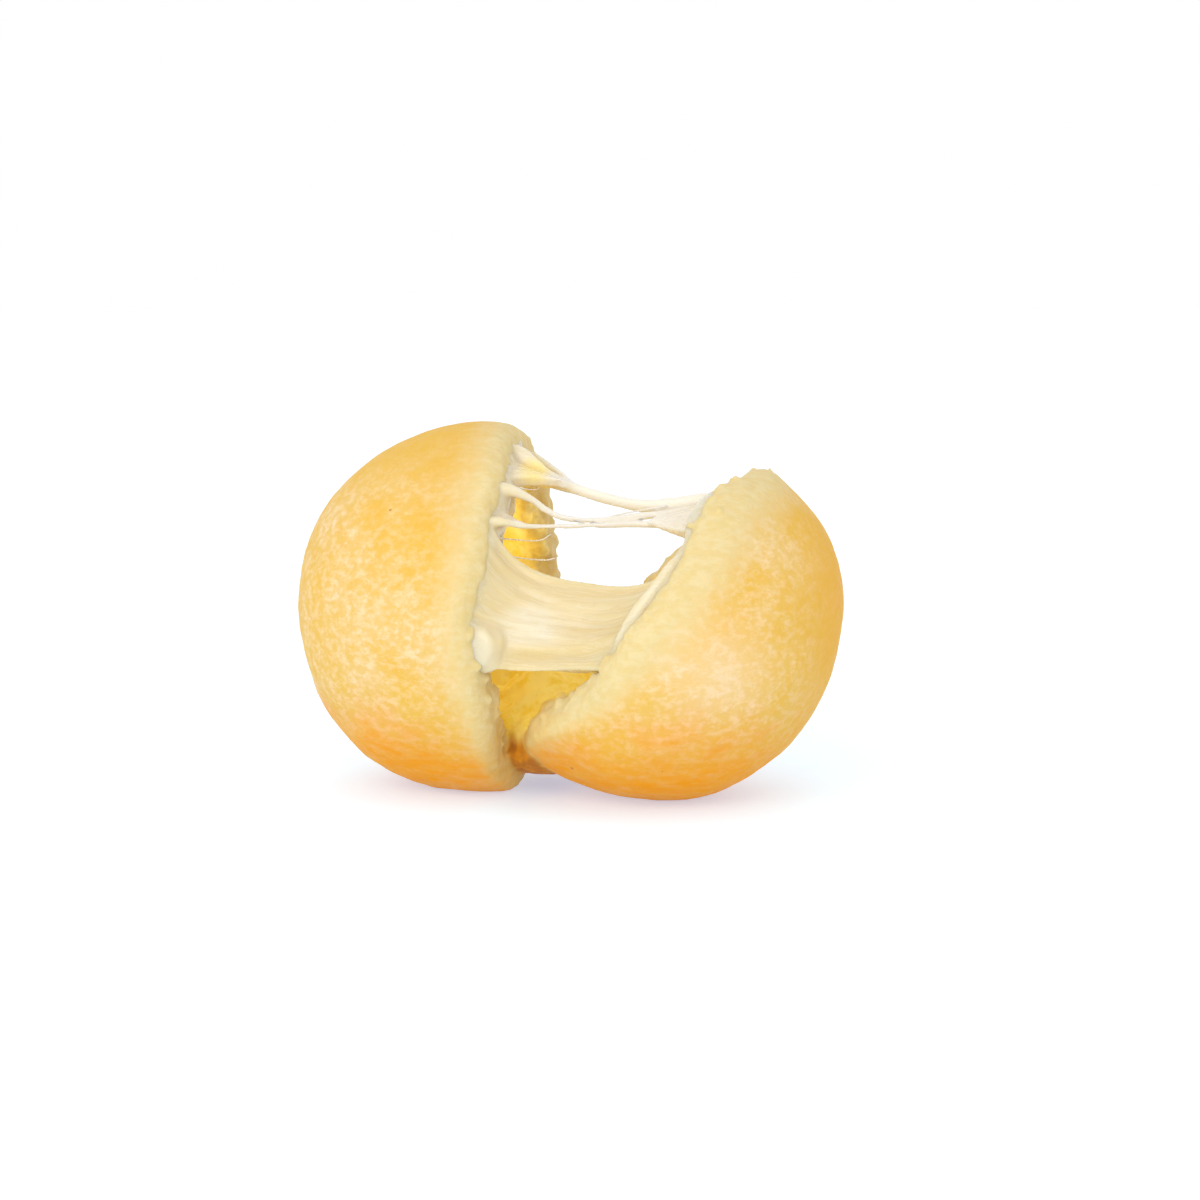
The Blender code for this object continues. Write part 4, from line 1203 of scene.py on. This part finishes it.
class BITE_OT_bake_dough(bpy.types.Operator):
    """Makes the torn dough with its crust, lip, hollows and crumb"""
    bl_idname = "bite.bake_dough"
    bl_label = "Bake Dough"

    def execute(self, context):
        settings = context.scene.bite_dough
        lobes = make_lobes()
        pieces = [fine_lobe(lobe) for lobe in lobes] + [fine_hinge()]
        pieces += [loose_lumps(lobes[side], pieces[side], settings.lumps // part, *rest)
                   for side, part, *rest in LUMPS]
        source = joined(pieces, "dough_source")
        source_points = points_of(source.data)
        marks = np.stack([read_float(source.data, name) for name in ("past_edge", "shaded_crease")], 1)
        made = melted_into_one(source, "baked_dough", settings.voxel, DOUGH_SMOOTHING, DOUGH_KEPT)
        past, shaded_crease = carried_over(source_points, marks, made.data, 2).T
        settle_skin(made.data, past, settings.relief)
        store_float(made.data, "past_edge", past)
        store_float(made.data, "shaded_crease", shaded_crease)
        give(made, dough_material(patches_group(), specks_group(), settings))
        place_piece(made, "baked_dough", "torn_dough")
        return {"FINISHED"}


class BITE_OT_stretch_cheese(bpy.types.Operator):
    """Makes the web, the fan, the film and the strands with the cheese that they are drawn out of"""
    bl_idname = "bite.stretch_cheese"
    bl_label = "Stretch Cheese"

    def execute(self, context):
        settings = context.scene.bite_cheese
        left, right = make_lobes()
        pieces = [
            fine_sheet("web", lip_edge(left, WEB_LEFT_EDGE), lip_edge(right, WEB_RIGHT_EDGE),
                       WEB_SAG, WEB_BOW, WEB_THICKNESS, (150, 100), (0.0, 0.0), (0.0, 0.0)),
            fine_sheet("fan", free_edge(FAN_LEFT_EDGE), lip_edge(right, FAN_RIGHT_EDGE),
                       FAN_SAG, 0.0, FAN_THICKNESS, (90, 80), (1.0, 0.4), (0.14, 0.0)),
            fine_sheet("root", lip_edge(left, ROOT_LEFT_EDGE), free_edge(ROOT_RIGHT_EDGE),
                       ROOT_SAG, 0.0, ROOT_THICKNESS, (70, 60), (0.3, 1.0), (0.0, 0.0)),
        ]
        pieces += [small_root(name, left, edges) for name, edges in SMALL_ROOTS.items()]
        pieces += [drawn_strand(name, rooted(left, places), size, STRAND_FLARE, STRAND_SIDES)
                   for name, (places, size) in STRANDS.items()]
        fold_places = [right.on_lip(angle, radius * MM, height * MM) / MM
                       for angle, radius, height in FOLD_MARKS]
        pieces += [
            drawn_strand("fold", fold_places, FOLD_SIZE, FOLD_FLARE, STRAND_SIDES),
            lip_coat("left_coat", left, LEFT_COAT),
            lip_coat("right_coat", right, RIGHT_COAT),
            over_lip_bead(left),
            hollow_lining("left_lining", left, LEFT_LINING_SPAN, LEFT_LINING_MIDDLE),
            hollow_lining("right_lining", right, RIGHT_LINING_SPAN, RIGHT_LINING_MIDDLE),
        ]
        for index, piece in enumerate(pieces):
            add_flow(piece, index * 7.0, FILMS.get(piece.name, 0.1))
        source_points = np.concatenate([points_of(piece.data) for piece in pieces])
        flow = np.concatenate([read_vector(piece.data, "flow") for piece in pieces])
        film = np.concatenate([read_float(piece.data, "film") for piece in pieces])
        source = joined(pieces, "cheese_source")
        made = melted_into_one(source, "stretched_cheese", settings.voxel, CHEESE_SMOOTHING)
        store_vector(made.data, "flow", carried_over(source_points, flow, made.data, 2))
        store_float(made.data, "film", carried_over(source_points, film, made.data, 14))
        give(made, cheese_material(patches_group(), settings))
        place_piece(made, "melted_cheese", "melted_cheese")
        return {"FINISHED"}


class BITE_OT_draw_threads(bpy.types.Operator):
    """Draws the hair-thin threads of cheese in the tear"""
    bl_idname = "bite.draw_threads"
    bl_label = "Draw Threads"

    def execute(self, context):
        settings = context.scene.bite_cheese
        size = (THREAD_WIDTH, THREAD_WIDTH)
        threads = [drawn_strand("thread", places, size, THREAD_FLARE, THREAD_SIDES)
                   for places in THREADS]
        made = joined([add_flow(thread, 60.0, 1.0) for thread in threads], "cheese_threads")
        give(made, cheese_material(patches_group(), settings))
        place_piece(made, "melted_cheese")
        return {"FINISHED"}


class BITE_OT_set_stage(bpy.types.Operator):
    """Sets the floor, the lights and the camera"""
    bl_idname = "bite.set_stage"
    bl_label = "Set Stage"

    def execute(self, context):
        scene, settings = context.scene, context.scene.bite_stage
        shape = bmesh.new()
        bmesh.ops.create_circle(shape, cap_ends=True, segments=96, radius=FLOOR_RADIUS)
        floor = object_of("floor", shape)
        material, tree, shader = new_material("pale_floor")
        place = tree.node("ShaderNodeTexCoord").outputs["Object"]
        # Painted light: the floor is cooler near the bite, against the crust's orange bounce
        near = tree.around(place, *FLOOR_TINT_ZONE)
        plain = tree.blend(near, colour(settings.floor), colour(settings.floor_near_painted_tint))
        tree.tree.links.new(plain, shader.inputs["Base Color"])
        shader.inputs["Roughness"].default_value = 0.9
        shader.inputs["Specular IOR Level"].default_value = 0.1
        shader.inputs["Emission Color"].default_value = colour(settings.floor_glow)
        shader.inputs["Emission Strength"].default_value = 1.0
        floor.data.materials.append(material)

        world = bpy.data.worlds.new("soft_studio")
        world.use_nodes = True
        sky = world.node_tree.nodes["Background"]
        sky.inputs["Color"].default_value = (1, 1, 1, 1)
        sky.inputs["Strength"].default_value = settings.sky
        scene.world = world

        key = bpy.data.objects.new("key_light", bpy.data.lights.new("key_light", "AREA"))
        key.data.shape = "DISK"
        key.data.size = KEY_SIZE
        key.data.energy = settings.key_power
        key.location = KEY_PLACE
        key.rotation_mode = "QUATERNION"
        key.rotation_quaternion = (KEY_TARGET - KEY_PLACE).to_track_quat("-Z", "Y")
        scene.collection.objects.link(key)

        camera = bpy.data.objects.new("camera", bpy.data.cameras.new("camera"))
        camera.data.lens = CAMERA_LENS
        camera.data.sensor_width = 36
        camera.data.clip_start = 0.01
        back = Vector((0, -math.cos(CAMERA_RISE), math.sin(CAMERA_RISE)))
        camera.location = CAMERA_TARGET + CAMERA_DISTANCE * back
        camera.rotation_mode = "QUATERNION"
        camera.rotation_quaternion = (-back).to_track_quat("-Z", "Y")
        scene.collection.objects.link(camera)
        scene.camera = camera
        scene.view_settings.view_transform = "Standard"
        return {"FINISHED"}


class BITE_PT_panel(bpy.types.Panel):
    """Lists the bite's settings and its operators"""
    bl_idname = "BITE_PT_panel"
    bl_label = "Cheese Bite"
    bl_space_type = "VIEW_3D"
    bl_region_type = "UI"
    bl_category = "Cheese Bite"

    def draw(self, context):
        for settings in (context.scene.bite_dough, context.scene.bite_cheese,
                         context.scene.bite_stage):
            box = self.layout.box()
            for name in settings.__annotations__:
                box.prop(settings, name)
        for operator in OPERATORS:
            self.layout.operator(operator.bl_idname)


SETTINGS = {
    "bite_dough": DoughSettings,
    "bite_cheese": CheeseSettings,
    "bite_stage": StageSettings,
}
OPERATORS = (BITE_OT_bake_dough, BITE_OT_stretch_cheese, BITE_OT_draw_threads, BITE_OT_set_stage)


def register():
    for kind in (*SETTINGS.values(), *OPERATORS, BITE_PT_panel):
        bpy.utils.register_class(kind)
    for name, kind in SETTINGS.items():
        setattr(bpy.types.Scene, name, PointerProperty(type=kind))


def unregister():
    for name in SETTINGS:
        delattr(bpy.types.Scene, name)
    for kind in (BITE_PT_panel, *reversed(OPERATORS), *SETTINGS.values()):
        bpy.utils.unregister_class(kind)


def main():
    register()
    bpy.ops.bite.bake_dough()
    bpy.ops.bite.stretch_cheese()
    bpy.ops.bite.draw_threads()
    bpy.ops.bite.set_stage()


if __name__ == "__main__":
    main()
